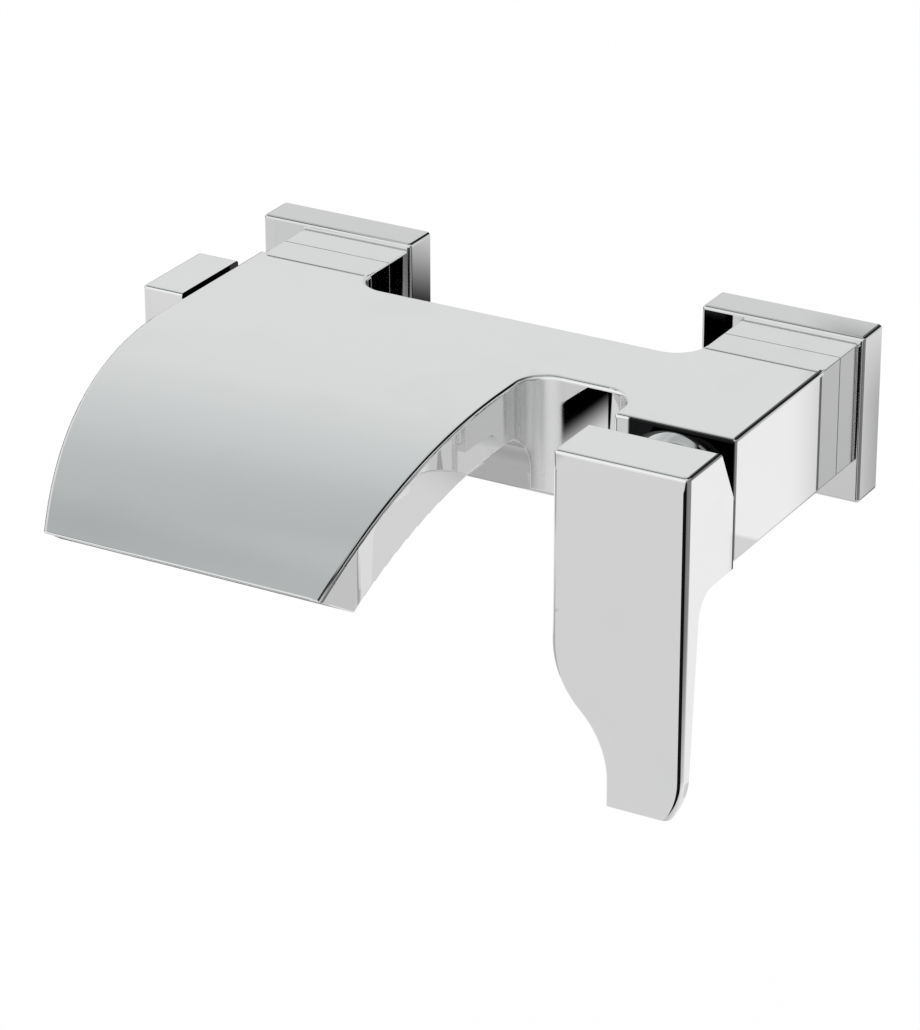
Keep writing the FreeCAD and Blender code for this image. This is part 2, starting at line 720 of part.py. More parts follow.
def waterways():
    """Bores for nipples, valve and diverter, and the ducts that join them."""
    duct = size("duct_radius")
    port = size("port_radius")
    grip = size("nipple_grip") + size("seam_gap")
    thread = neck_radius + size("seam_gap")
    hot_y = bridge_back + size("corner_radius")
    hot_z = size("port_rise") * 2
    hot_x = inlet_x - neck_radius + duct
    mixed_y = axis_y + size("port_radius")
    mixed_z = -(size("port_drop") + size("port_radius"))
    hot_port = inlet_x - size("port_side")
    outlet_hole = size("outlet_grip") + size("outlet_flange") / 2
    tools = []
    for side, sign in (("left", -1), ("right", 1)):
        tools.append(drilling(f"{side}_nipple_hole", thread, grip, inlet_x * sign, -arm_back, 0, OUT_OF_WALL))
    # Cold water runs straight to its port, hot water crosses the bridge behind the mixed water
    cold_y = nipple_end - chamber_floor
    tools.append(drilling("cold_duct", port, -cold_y + duct, inlet_x + size("port_side"),
                          -(nipple_end - duct / 2), size("port_rise"), OUT_OF_WALL))
    tools.append(drilling("hot_entry", port, hot_y - nipple_end + duct, -hot_x, -(nipple_end - duct / 2),
                          hot_z / 2, OUT_OF_WALL))
    tools.append(drilling("hot_duct", duct, hot_x + hot_port, -hot_x, -hot_y, hot_z, TO_THE_RIGHT))
    tools.append(drilling("hot_exit", port, chamber_floor - hot_y + duct, hot_port, -hot_y,
                          size("port_rise"), OUT_OF_WALL))
    tools.append(drilling("mixed_entry", port, chamber_floor - mixed_y + port, inlet_x, -mixed_y,
                          -size("port_drop"), OUT_OF_WALL))
    tools.append(drilling("mixed_duct", duct, inlet_x + bore_end + duct, inlet_x, -mixed_y, mixed_z,
                          TO_THE_LEFT))
    # Valve chamber with the threads of the cartridge nut and the seat of the dome's skirt
    depth = arm_front - chamber_floor
    tools.append(drilling("valve_chamber", chamber_radius, depth, inlet_x, -chamber_floor, 0, OUT_OF_WALL))
    tools.append(drilling("ring_thread", ring_radius, arm_front - ring_back, inlet_x, -ring_back, 0,
                          OUT_OF_WALL))
    tools.append(drilling("skirt_seat", skirt_radius + size("seam_gap"), size("dome_skirt"), inlet_x,
                          -ring_front, 0, OUT_OF_WALL))
    # Diverter bore with its two ways, to the spout and down to the shower outlet
    seal_seat = size("bush_radius") + size("seal_section") + size("seam_gap")
    tools.append(drilling("diverter_bore", size("bush_radius"), size("bore_length"), -bore_end, -axis_y, 0,
                          TO_THE_LEFT))
    tools.append(drilling("bush_seal_seat", seal_seat, size("seal_section") + size("seam_gap"),
                          size("seal_section") + size("seam_gap") - left_side, -axis_y, 0, TO_THE_LEFT))
    tools.append(drilling("spout_way", port, bridge_front - axis_y + size("spout_wall") * 2, -outlet_x,
                          -axis_y, under_z + size("plate_thickness") + port, OUT_OF_WALL))
    tools.append(drilling("shower_way", size("outlet_bore") / 2, half_height, -outlet_x, -axis_y, 0,
                          DOWNWARDS))
    hole_top = size("outlet_grip") + size("seam_gap") - half_height
    tools.append(drilling("shower_hole", size("outlet_grip_radius") + size("seam_gap"), outlet_hole,
                          -outlet_x, -axis_y, hole_top, DOWNWARDS))
    return tools


def mixer_body():
    body = new_body("body_casting")
    sketch = new_sketch(body, "XY_Plane")
    draw(sketch, body_outline())
    pad(body, sketch, size("body_height"), both_ways=True)
    spout_cutters(body)

    def at_outlet(edge):
        slope = tangent(size("outlet_angle")).value
        return ends_where(edge, lambda p: near(p.z, lip_z.value - slope * (p.y + spout_reach.value)))

    def outer(edge):
        level = half_height.value
        top_or_bottom = ends_where(edge, lambda p: near(abs(p.z), level))
        back_joint = ends_where(edge, lambda p: near(p.y, -arm_back.value))
        falling = edge.CenterOfMass.y < -top_start.value
        upright = upright_edge(edge)
        corner = upright and edge.CenterOfMass.y < -(arm_front.value - 1)
        long = top_or_bottom and not upright and not back_joint
        return not at_outlet(edge) and (long or falling or corner)

    round_edges(body, size("body_round"), outer)
    round_edges(body, size("lip_round"), at_outlet)
    keep(cut("mixer_body", body, [spout_chamber()] + waterways()), "mixer_body")


def base_plate():
    gap = size("seam_gap")
    start = plate_start + gap
    back_y, back_z = outlet_corner(as_size(0), under_arc)
    inner_y, inner_z = outlet_corner(as_size(0), plate_arc)
    profile = across_spout("plate_profile", [
        (-start, under_z + size("plate_thickness")),
        (-top_start, under_z + size("plate_thickness"), (plate_arc, COUNTERCLOCKWISE)),
        (inner_y, inner_z), (back_y, back_z, (under_arc, CLOCKWISE)),
        (-top_start, under_z), (-start, under_z)])
    plan = spout_plan("plate_plan", size("spout_wall") + gap, bridge_front)
    keep(shared("spout_base_plate", profile, plan), "spout_base_plate")


def outlet_strip():
    """Slotted strip across the outlet that lets the water leave as one even sheet."""
    gap = size("seam_gap")
    near_face = size("strip_recess")
    far_face = near_face + size("strip_depth")
    corners = [
        outlet_corner(near_face, ceiling_arc - gap), outlet_corner(far_face, ceiling_arc - gap),
        outlet_corner(far_face, plate_arc + gap), outlet_corner(near_face, plate_arc + gap)]
    profile = across_spout("strip_profile", corners)
    plan = spout_plan("strip_plan", size("spout_wall") + gap, bridge_front)
    bar = shared("strip_bar", profile, plan)
    middle_y = (corners[0][0] + corners[2][0]) / 2
    middle_z = (corners[0][1] + corners[2][1]) / 2
    tilt = size("outlet_angle")
    reach = size("strip_depth") * 4
    half_rise = size("strip_slot_height") / 2
    low_y = middle_y - half_rise * cosine(tilt) - reach / 2 * sine(tilt)
    low_z = middle_z + half_rise * sine(tilt) - reach / 2 * cosine(tilt)
    count = int(round(size("strip_slots").value))
    centre_x = (lip_left + size("spout_side")) / 2
    slots = []
    for number in range(count):
        slot = block(f"strip_slot_{number}", size("strip_slot"), size("strip_slot_height"), reach)
        shift = size("strip_pitch") * (number - (count - 1) / 2) - size("strip_slot") / 2
        place(slot, centre_x + shift, low_y, low_z, FreeCAD.Rotation(FreeCAD.Vector(-1, 0, 0), tilt.value))
        slot.setExpression("Placement.Rotation.Angle", tilt.text)
        slots.append(slot)
    keep(cut("outlet_strip", bar, slots), "outlet_strip")


# Valve cartridge in the right arm


def valve_ports(label, radius, low, length):
    """Rods at the hot, cold and mixed port, along the valve axis."""
    places = [(-size("port_side"), size("port_rise")), (size("port_side"), size("port_rise")),
              (as_size(0), -size("port_drop"))]
    return [drilling(f"{label}_{number}", radius, length, inlet_x + x, -low, z, OUT_OF_WALL)
            for number, (x, z) in enumerate(places)]


def port_seals():
    low = chamber_floor
    outer = valve_ports("seal_outer", size("port_radius") + size("seal_width"), low, size("seal_thickness"))
    inner = valve_ports("seal_inner", size("port_radius"), low - 1, size("seal_thickness") + 2)
    keep(cut("port_seals", joined("seal_rods", outer), inner), "port_seals")


def cartridge_base():
    solid = drilling("base_solid", size("housing_radius"), size("base_thickness"), inlet_x, -base_back, 0,
                     OUT_OF_WALL)
    holes = valve_ports("base_port", size("port_radius"), base_back - 1, size("base_thickness") + 2)
    keep(cut("cartridge_base", solid, holes), "cartridge_base")


def fixed_disc():
    radius = housing_inner - size("seam_gap")
    solid = drilling("disc_solid", radius, size("disc_thickness"), inlet_x, -disc_back, 0, OUT_OF_WALL)
    holes = valve_ports("disc_port", size("port_radius"), disc_back - 1, size("disc_thickness") + 2)
    keep(cut("fixed_disc", solid, holes), "fixed_disc")


def cartridge_housing():
    wall_back = ring_back - size("housing_front")
    opening = size("stem_radius") + size("running_gap")
    body = turned("cartridge_housing", [
        (housing_inner, disc_back), (size("housing_radius"), disc_back), (size("housing_radius"), ring_back),
        (opening, ring_back), (opening, wall_back), (housing_inner, wall_back)])
    keep(place(body, inlet_x, turn=OUT_OF_WALL), "cartridge_housing")


def cartridge_nut():
    outer = ring_radius - size("seam_gap")
    inner = size("stem_radius") + size("nut_ring_room")
    body = ring("cartridge_nut", inner, outer, ring_back, ring_front)
    keep(place(body, inlet_x, turn=OUT_OF_WALL), "cartridge_nut")


def valve_dome():
    outer = size("dome_radius")
    inner = outer - size("dome_wall")
    mouth = size("dome_mouth")
    skirt_inner = skirt_radius - size("dome_wall")
    body = turned("valve_dome", [
        (skirt_inner, ring_front), (skirt_radius, ring_front), (skirt_radius, arm_front),
        (dome_base, arm_front, (outer, COUNTERCLOCKWISE)), (mouth, pivot + leg(outer, mouth)),
        (mouth, pivot + leg(inner, mouth), (inner, CLOCKWISE)),
        (skirt_inner, pivot + leg(inner, skirt_inner))])
    keep(place(body, inlet_x, turn=OUT_OF_WALL), "valve_dome")


def valve_carrier():
    """Turning carrier: a plate on the discs and a forked stem that holds the lift pivot."""
    stem = size("stem_radius")
    front = pivot + size("stem_front")
    plate = housing_inner - size("free_gap")
    solid = turned("carrier_solid", [
        (as_size(0), carrier_back), (plate, carrier_back), (plate, plate_front), (stem, plate_front),
        (stem, front), (as_size(0), front)])
    place(solid, inlet_x, turn=OUT_OF_WALL)
    gap = size("spindle_size") + size("running_gap") * 2
    fork_length = front - plate_front + 1
    fork = block("carrier_fork", gap, fork_length, stem * 2 + 2)
    place(fork, inlet_x - gap / 2, -(front + 1), -stem - 1)
    window_height = size("tail_width") * 2.5
    window = place(block("carrier_window", gap, size("carrier_plate") + 2, window_height),
                   inlet_x - gap / 2, -(plate_front + 1), -window_height / 2)
    hole = drilling("carrier_pin_hole", size("pin_radius") + size("running_gap") / 2, stem * 2 + 2,
                    inlet_x - stem - 1, -pivot, 0, TO_THE_RIGHT)
    keep(cut("valve_carrier", solid, [fork, window, hole]), "valve_carrier")


def pivot_pin():
    length = size("stem_radius") * 2 - 1
    pin = drilling("pivot_pin", size("pin_radius"), length, inlet_x - length / 2, -pivot, 0, TO_THE_RIGHT)
    keep(pin, "pivot_pin")


def moving_disc():
    """Ceramic disc that the spindle's tail slides up and down."""
    middle = size("tail_reach") * tangent(size("lift_angle") / 2)
    solid = drilling("moving_solid", size("moving_radius"), size("moving_thickness"), inlet_x, -moving_back,
                     middle, OUT_OF_WALL)
    width = size("spindle_size") + size("free_gap") * 2
    height = size("tail_width") + size("free_gap") * 3
    pocket_box = place(block("moving_pocket", width, size("pocket_depth") + 1, height), inlet_x - width / 2,
                       -(moving_front + 1), middle - height / 2)
    keep(cut("moving_disc", solid, [pocket_box]), "moving_disc")


# Lever


def lever_spindle():
    width = size("spindle_size")
    bar_back = pivot - width / 2
    bar_length = size("spindle_reach") + width / 2
    bar = block("spindle_bar", width, bar_length, width)
    place(bar, inlet_x - width / 2, -(bar_back + bar_length), -width / 2)
    # The tail leans up by half the lift, so that it swings evenly past the valve axis
    tail = block("spindle_tail", width, size("tail_reach"), size("tail_width"))
    lean = size("lift_angle") / 2
    half = size("tail_width") / 2
    place(tail, inlet_x - width / 2, half * sine(lean) - pivot, -half * cosine(lean),
          FreeCAD.Rotation(FreeCAD.Vector(1, 0, 0), lean.value))
    tail.setExpression("Placement.Rotation.Angle", lean.text)
    hole = drilling("spindle_pin_hole", size("pin_radius") + size("running_gap"), width + 2,
                    inlet_x - width / 2 - 1, -pivot, 0, TO_THE_RIGHT)
    keep(cut("lever_spindle", joined("spindle_solid", [bar, tail]), [hole]), "lever_spindle")


def tip_bend(inset):
    """Radius of a curve that leaves the blade's side smoothly and comes in by an inset at its end."""
    return (inset * inset + size("tip_height") * size("tip_height")) / (inset * 2)


def lever_side():
    """Lever seen from its right side: (along Y, up)."""
    relief = (half_height - size("relief_start")) * tangent(size("relief_angle"))
    curve = size("blade_fillet")
    taper = size("blade_tip") - size("blade_end")
    return [
        (-lever_back, size("relief_start")),
        (-(lever_back + relief), half_height),
        (-lever_front, half_height),
        (-lever_front, -size("lever_drop")),
        (size("blade_end") - lever_front, -size("lever_drop"), (tip_bend(taper), COUNTERCLOCKWISE)),
        (size("blade_tip") - lever_front, size("tip_height") - size("lever_drop")),
        (-blade_back, -(block_bottom + curve), (curve, CLOCKWISE)),
        (curve - blade_back, -block_bottom),
        (-lever_back, -block_bottom),
    ]


def sweep_cutter(left):
    """What the swept left edge of the blade leaves out: (along X, up)."""
    wide = size("sweep_width")
    tall = size("sweep_height")
    bend = (wide * wide + tall * tall) / (wide * 4)
    top = -size("sweep_start")
    bottom = top - tall
    below = -(size("lever_drop") + 1)
    return [
        (left, top, (bend, COUNTERCLOCKWISE)), (left + wide / 2, top - tall / 2, (bend, CLOCKWISE)),
        (left + wide, bottom), (left + wide, below), (left - 1, below), (left - 1, top)]


def tip_cutter(right):
    """What the curved right corner of the tip leaves out: (along X, up)."""
    end = -size("lever_drop")
    start = end + size("tip_height")
    inner = right - size("tip_inset")
    return [
        (right, start, (tip_bend(size("tip_inset")), CLOCKWISE)), (inner, end), (inner, end - 1),
        (right + 1, end - 1), (right + 1, start)]


def lever_handle():
    left = inlet_x - size("lever_left")
    right = inlet_x + size("lever_right")
    body = new_body("lever_solid")
    side = new_sketch(body, "YZ_Plane", left)
    draw(side, lever_side())
    pad(body, side, size("lever_left") + size("lever_right"))
    sweep = new_sketch(body, "XZ_Plane", blade_back - size("blade_fillet"))
    draw(sweep, sweep_cutter(left))
    pocket(body, sweep, size("blade_root") + size("blade_fillet") + 1, reverse=True)

    tip = new_sketch(body, "XZ_Plane", blade_back)
    draw(tip, tip_cutter(right))
    pocket(body, tip, size("blade_root") + 1, reverse=True)

    def long_edge(edge):
        centre = edge.CenterOfMass
        return upright_edge(edge) and near(centre.x, right.value) and near(centre.y, -lever_front.value)

    round_edges(body, size("lever_edge"), long_edge)

    def front_or_top(edge):
        centre = edge.CenterOfMass
        beside_round = centre.x > (right - size("lever_edge")).value - 1e-4
        at_tip = centre.z < (size("tip_height") - size("lever_drop")).value and centre.x > left.value + 1
        front = ends_where(edge, lambda p: near(p.y, -lever_front.value))
        top = ends_where(edge, lambda p: near(p.z, half_height.value))
        return top or (front and not beside_round and not (at_tip and not upright_edge(edge)))

    round_edges(body, size("lever_round"), front_or_top)
    cavity = doc.addObject("Part::Sphere", "lever_cavity")
    cavity.setExpression("Radius", cavity_radius.text)
    place(cavity, inlet_x, -pivot)
    socket = place(block("lever_socket", socket_half * 2, socket_end - pivot, socket_half * 2),
                   inlet_x - socket_half, -socket_end, -socket_half)
    hole = drilling("lever_grub_hole", size("grub_radius") + size("seam_gap"),
                    block_bottom + size("blade_fillet"), inlet_x, -grub_y, 0, DOWNWARDS)
    keep(cut("lever_handle", body, [cavity, socket, hole]), "lever_handle")


def lever_fixings():
    top = -(size("spindle_size") / 2)
    grub = drilling("lever_grub_screw", size("grub_radius"), size("grub_length"), inlet_x, -grub_y, top,
                    DOWNWARDS)
    keep(grub, "lever_grub_screw")
    plug_top = size("plug_length") - block_bottom
    plug = drilling("lever_plug", size("grub_radius"), size("plug_length"), inlet_x, -grub_y, plug_top,
                    DOWNWARDS)
    keep(plug, "lever_plug")


# Diverter in the left end of the bridge


def on_diverter_axis(body):
    return place(body, 0, -axis_y, 0, TO_THE_LEFT)


def diverter_bush():
    sleeve = size("bush_radius") - size("seam_gap")
    flange = size("bush_radius") + size("bush_flange_width")
    face = left_side + size("bush_flange")
    body = turned("diverter_bush", [
        (bush_bore, bush_end), (sleeve, bush_end), (sleeve, left_side), (flange, left_side),
        (flange, face), (bush_bore, face)])
    keep(on_diverter_axis(body), "diverter_bush")


def bush_seal():
    inner = size("bush_radius")
    body = ring("bush_seal", inner, inner + size("seal_section"), left_side - size("seal_section"), left_side)
    keep(on_diverter_axis(body), "bush_seal")


def port_at(label, radius, reach_back, length, offset):
    return drilling(label, radius, length, -reach_back, -axis_y, -offset, TO_THE_LEFT)


def diverter_seat():
    radius = size("bush_radius") - size("seam_gap")
    solid = port_at("seat_solid", radius, bore_end, size("seat_thickness"), as_size(0))
    hole = port_at("seat_port", size("port_radius"), bore_end - 1, size("seat_thickness") + 2, radius / 2)
    keep(cut("diverter_seat", solid, [hole]), "diverter_seat")


def diverter_rotor():
    radius = size("bush_radius") - size("free_gap")
    solid = port_at("rotor_solid", radius, rotor_back, size("rotor_thickness"), as_size(0))
    hole = port_at("rotor_port", size("port_radius"), rotor_back - 1, size("rotor_thickness") + 2, radius / 2)
    keep(cut("diverter_rotor", solid, [hole]), "diverter_rotor")


def seal_places():
    """Both seal grooves, spread over the bush."""
    length = left_side - bush_end
    return [bush_end + length * share for share in (0.35, 0.75)]


def diverter_spindle():
    radius = size("spindle_radius")
    waist = radius - size("groove_depth")
    first, second = seal_places()
    wide = size("groove_depth") + size("seam_gap") * 2
    body = turned("diverter_spindle", [
        (as_size(0), rotor_front), (radius, rotor_front),
        (radius, first), (waist, first), (waist, first + wide), (radius, first + wide),
        (radius, second), (waist, second), (waist, second + wide),
        (radius, second + wide), (radius, spindle_end), (as_size(0), spindle_end)])
    keep(on_diverter_axis(body), "diverter_spindle")


def spindle_seals():
    waist = size("spindle_radius") - size("groove_depth")
    rings = []
    for number, start in enumerate(seal_places()):
        low = start + size("seam_gap")
        seal = ring(f"spindle_seal_{number}", waist, size("spindle_radius"), low, low + size("groove_depth"))
        rings.append(on_diverter_axis(seal))
    group = doc.addObject("Part::Compound", "spindle_seals")
    group.Links = rings
    doc.recompute()
    keep(group, "spindle_seals")


def diverter_knob():
    half_depth = size("bridge_depth") / 2 - size("knob_margin")
    body = new_body("knob_solid")
    sketch = new_sketch(body, "XY_Plane", knob_inner)
    draw(sketch, box_corners(half_height, half_depth))
    pad(body, sketch, size("knob_thickness"))

    def outer(edge):
        return not ends_where(edge, lambda p: near(p.z, knob_inner.value))

    round_edges(body, size("knob_round"), outer)
    on_diverter_axis(body)
    bore = port_at("knob_bore", size("spindle_radius") + size("seam_gap"), knob_inner - 1,
                   size("spindle_grip") + 1 + size("seam_gap"), as_size(0))
    hole = drilling("knob_grub_hole", size("knob_grub_radius") + size("seam_gap"), half_height + 1,
                    -(knob_inner + size("spindle_grip") / 2), -axis_y, 0, DOWNWARDS)
    keep(cut("diverter_knob", body, [bore, hole]), "diverter_knob")


def knob_grub_screw():
    top = -size("spindle_radius")
    piece = drilling("knob_grub_screw", size("knob_grub_radius"), size("knob_grub_length"),
                     -(knob_inner + size("spindle_grip") / 2), -axis_y, top, DOWNWARDS)
    keep(piece, "knob_grub_screw")


# Shower outlet under the left arm


def shower_outlet():
    bore = size("outlet_bore")
    grip = size("outlet_grip_radius")
    top = half_height - size("outlet_grip")
    seat = half_height + size("seal_section")
    shoulder = seat + size("outlet_flange")
    end = shoulder + size("outlet_length")
    body = turned("shower_outlet", [
        (bore, top), (grip, top), (grip, seat), (size("outlet_flange_radius"), seat),
        (size("outlet_flange_radius"), shoulder), (size("outlet_radius"), shoulder),
        (size("outlet_radius"), end), (bore, end)])
    keep(place(body, -outlet_x, -axis_y, 0, DOWNWARDS), "shower_outlet")


def outlet_seal():
    inner = size("outlet_grip_radius") + size("seam_gap")
    bottom = half_height + size("seal_section")
    body = ring("outlet_seal", inner, size("outlet_flange_radius"), half_height, bottom)
    keep(place(body, -outlet_x, -axis_y, 0, DOWNWARDS), "outlet_seal")


def check_document():
    doc.recompute()
    for item in doc.Objects:
        if "Invalid" in item.State or "Error" in item.State:
            raise RuntimeError(f"{item.Label} failed: {item.State}")
    for piece in nodes:
        shape = piece.Shape
        if shape.isNull() or not shape.isValid() or not shape.Solids:
            raise RuntimeError(f"{piece.Label} has no valid solid")


def write_steps():
    os.makedirs("parts", exist_ok=True)
    for piece in nodes:
        piece.Shape.exportStep(f"parts/{piece.Label}.step")
        print(f"{piece.Label}: {len(piece.Shape.Solids)} solid(s), {piece.Shape.Volume / 1000:.2f} cm3")


def build():
    mixer_body()
    base_plate()
    outlet_strip()
    for side, sign in (("left", -1), ("right", 1)):
        for make in (wall_flange, nut_cover, union, union_nut, inlet_nipple, filter_washer):
            make(side, inlet_x * sign)
    for make in (port_seals, cartridge_base, fixed_disc, cartridge_housing, cartridge_nut, valve_dome,
                 valve_carrier, pivot_pin, moving_disc, lever_spindle, lever_handle, lever_fixings,
                 diverter_bush, bush_seal, diverter_seat, diverter_rotor, diverter_spindle, spindle_seals,
                 diverter_knob, knob_grub_screw, shower_outlet, outlet_seal):
        make()
    check_document()
    write_steps()


build()
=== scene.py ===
"""Looks of a wall-mounted bath mixer tap: finishes, threads, screws and a white studio."""

import json
import logging
import math
from abc import ABC, abstractmethod
from dataclasses import dataclass, field
from enum import Enum
from typing import Any, ClassVar, Sequence

import bmesh
import bpy
from mathutils import Matrix, Vector


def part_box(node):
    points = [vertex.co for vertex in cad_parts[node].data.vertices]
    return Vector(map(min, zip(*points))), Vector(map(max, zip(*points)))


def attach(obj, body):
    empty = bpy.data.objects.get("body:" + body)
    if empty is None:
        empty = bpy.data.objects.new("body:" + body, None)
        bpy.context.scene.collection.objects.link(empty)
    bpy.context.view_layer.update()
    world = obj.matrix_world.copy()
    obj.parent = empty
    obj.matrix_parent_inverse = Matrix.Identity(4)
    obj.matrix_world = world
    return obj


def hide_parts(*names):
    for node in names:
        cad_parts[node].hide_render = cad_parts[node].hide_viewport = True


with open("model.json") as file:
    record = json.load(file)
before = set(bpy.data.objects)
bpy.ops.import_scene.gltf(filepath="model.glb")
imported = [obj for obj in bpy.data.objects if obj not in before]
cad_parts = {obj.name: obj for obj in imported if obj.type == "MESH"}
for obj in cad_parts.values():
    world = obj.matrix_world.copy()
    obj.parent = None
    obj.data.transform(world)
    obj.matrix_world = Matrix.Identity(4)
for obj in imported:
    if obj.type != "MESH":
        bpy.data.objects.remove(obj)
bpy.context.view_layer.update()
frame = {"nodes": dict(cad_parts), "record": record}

LOG = logging.getLogger("bath_mixer")
MM = 0.001
WELD = 2e-6

Colour = tuple[float, float, float]
Point = tuple[float, float, float]
Span = tuple[float, float]
Profile = list[tuple[float, float]]

BLACK: Colour = (0.0, 0.0, 0.0)
WHITE: Colour = (1.0, 1.0, 1.0)


class Slot(Enum):
    """Material slots of the record."""

    CHROME = "chrome"
    BRASS = "brass"
    STEEL = "steel"
    RUBBER = "rubber"
    CERAMIC = "ceramic"
    PLASTIC = "plastic"


class Body(Enum):
    """Bodies of the record that added pieces ride on."""

    TAP = "tap"
    LEVER = "lever"
    DIVERTER = "diverter"


class Side(Enum):
    """The two wall connections."""

    LEFT = "left"
    RIGHT = "right"


class Axis(Enum):
    """Axes of the shared frame, by their place in a point."""

    ACROSS = 0
    DEPTH = 1
    HEIGHT = 2


class MixKind(Enum):
    """What a Mix node mixes: its name, the places of its two inputs and of its result."""

    COLOUR = ("RGBA", 6, 7, 2)
    VECTOR = ("VECTOR", 4, 5, 1)


@dataclass(frozen=True)
class Grain:
    """Measures of a noise: waves per metre, finer octaves and stretch along each axis."""

    scale: float
    detail: float = 2.0
    stretch: Point | None = None


@dataclass(frozen=True)
class Relief:
    """Measures of a bump: its strength, and its depth in metres."""

    strength: float
    depth: float


class Wire:
    """An output socket that takes part in Python expressions."""

    def __init__(self, bench: "Bench", socket: bpy.types.NodeSocket) -> None:
        """Keep the socket and the bench that adds nodes for it."""
        self.bench = bench
        self.socket = socket

    def _math(self, operation: str, first: Any, second: Any = 0.0) -> "Wire":
        """Add one Math node.

        Args:
            operation: Blender's name of the operation.
            first: Left operand, a wire or a number.
            second: Right operand, a wire or a number.

        Returns:
            The node's result.
        """
        return self.bench.add("ShaderNodeMath", {"operation": operation}, {0: first, 1: second})

    def __add__(self, other: Any) -> "Wire":
        """Sum."""
        return self._math("ADD", self, other)

    def __radd__(self, other: Any) -> "Wire":
        """Sum with a number on the left."""
        return self._math("ADD", other, self)

    def __sub__(self, other: Any) -> "Wire":
        """Difference."""
        return self._math("SUBTRACT", self, other)

    def __rsub__(self, other: Any) -> "Wire":
        """Difference with a number on the left."""
        return self._math("SUBTRACT", other, self)

    def __mul__(self, other: Any) -> "Wire":
        """Product."""
        return self._math("MULTIPLY", self, other)

    def __rmul__(self, other: Any) -> "Wire":
        """Product with a number on the left."""
        return self._math("MULTIPLY", other, self)

    def __truediv__(self, other: Any) -> "Wire":
        """Quotient."""
        return self._math("DIVIDE", self, other)

    def __rtruediv__(self, other: Any) -> "Wire":
        """Quotient with a number on the left."""
        return self._math("DIVIDE", other, self)

    def __abs__(self) -> "Wire":
        """Size without its sign."""
        return self._math("ABSOLUTE", self)

    def least(self, other: Any) -> "Wire":
        """Smaller of two values."""
        return self._math("MINIMUM", self, other)

    def most(self, other: Any) -> "Wire":
        """Larger of two values."""
        return self._math("MAXIMUM", self, other)

    def part(self) -> "Wire":
        """What is left after the whole number below."""
        return self._math("FRACT", self)

    def sine(self) -> "Wire":
        """Sine of an angle in radians."""
        return self._math("SINE", self)

    def cosine(self) -> "Wire":
        """Cosine of an angle in radians."""
        return self._math("COSINE", self)

    def bearing(self, along: "Wire") -> "Wire":
        """Angle in radians of a way that goes this far across and that far along."""
        return self._math("ARCTAN2", self, along)

    def root(self) -> "Wire":
        """Square root."""
        return self._math("SQRT", self)

    def slope(self) -> "Wire":
        """Angle in radians whose sine this is."""
        return self._math("ARCSINE", self)

    def step(self, low: float, high: float) -> "Wire":
        """Smooth rise from 0 to 1.

        Args:
            low: Value at which the result is 0.
            high: Value at which the result is 1.

        Returns:
            The rise.
        """
        settings = {"interpolation_type": "SMOOTHSTEP"}
        ends = {"Value": self, "From Min": low, "From Max": high}
        return self.bench.add("ShaderNodeMapRange", settings, ends)

    def within(self, low: float, high: float, soft: float) -> "Wire":
        """One between two values and nothing outside, with soft ends."""
        return self.step(low - soft, low + soft) * self.step(high + soft, high - soft)


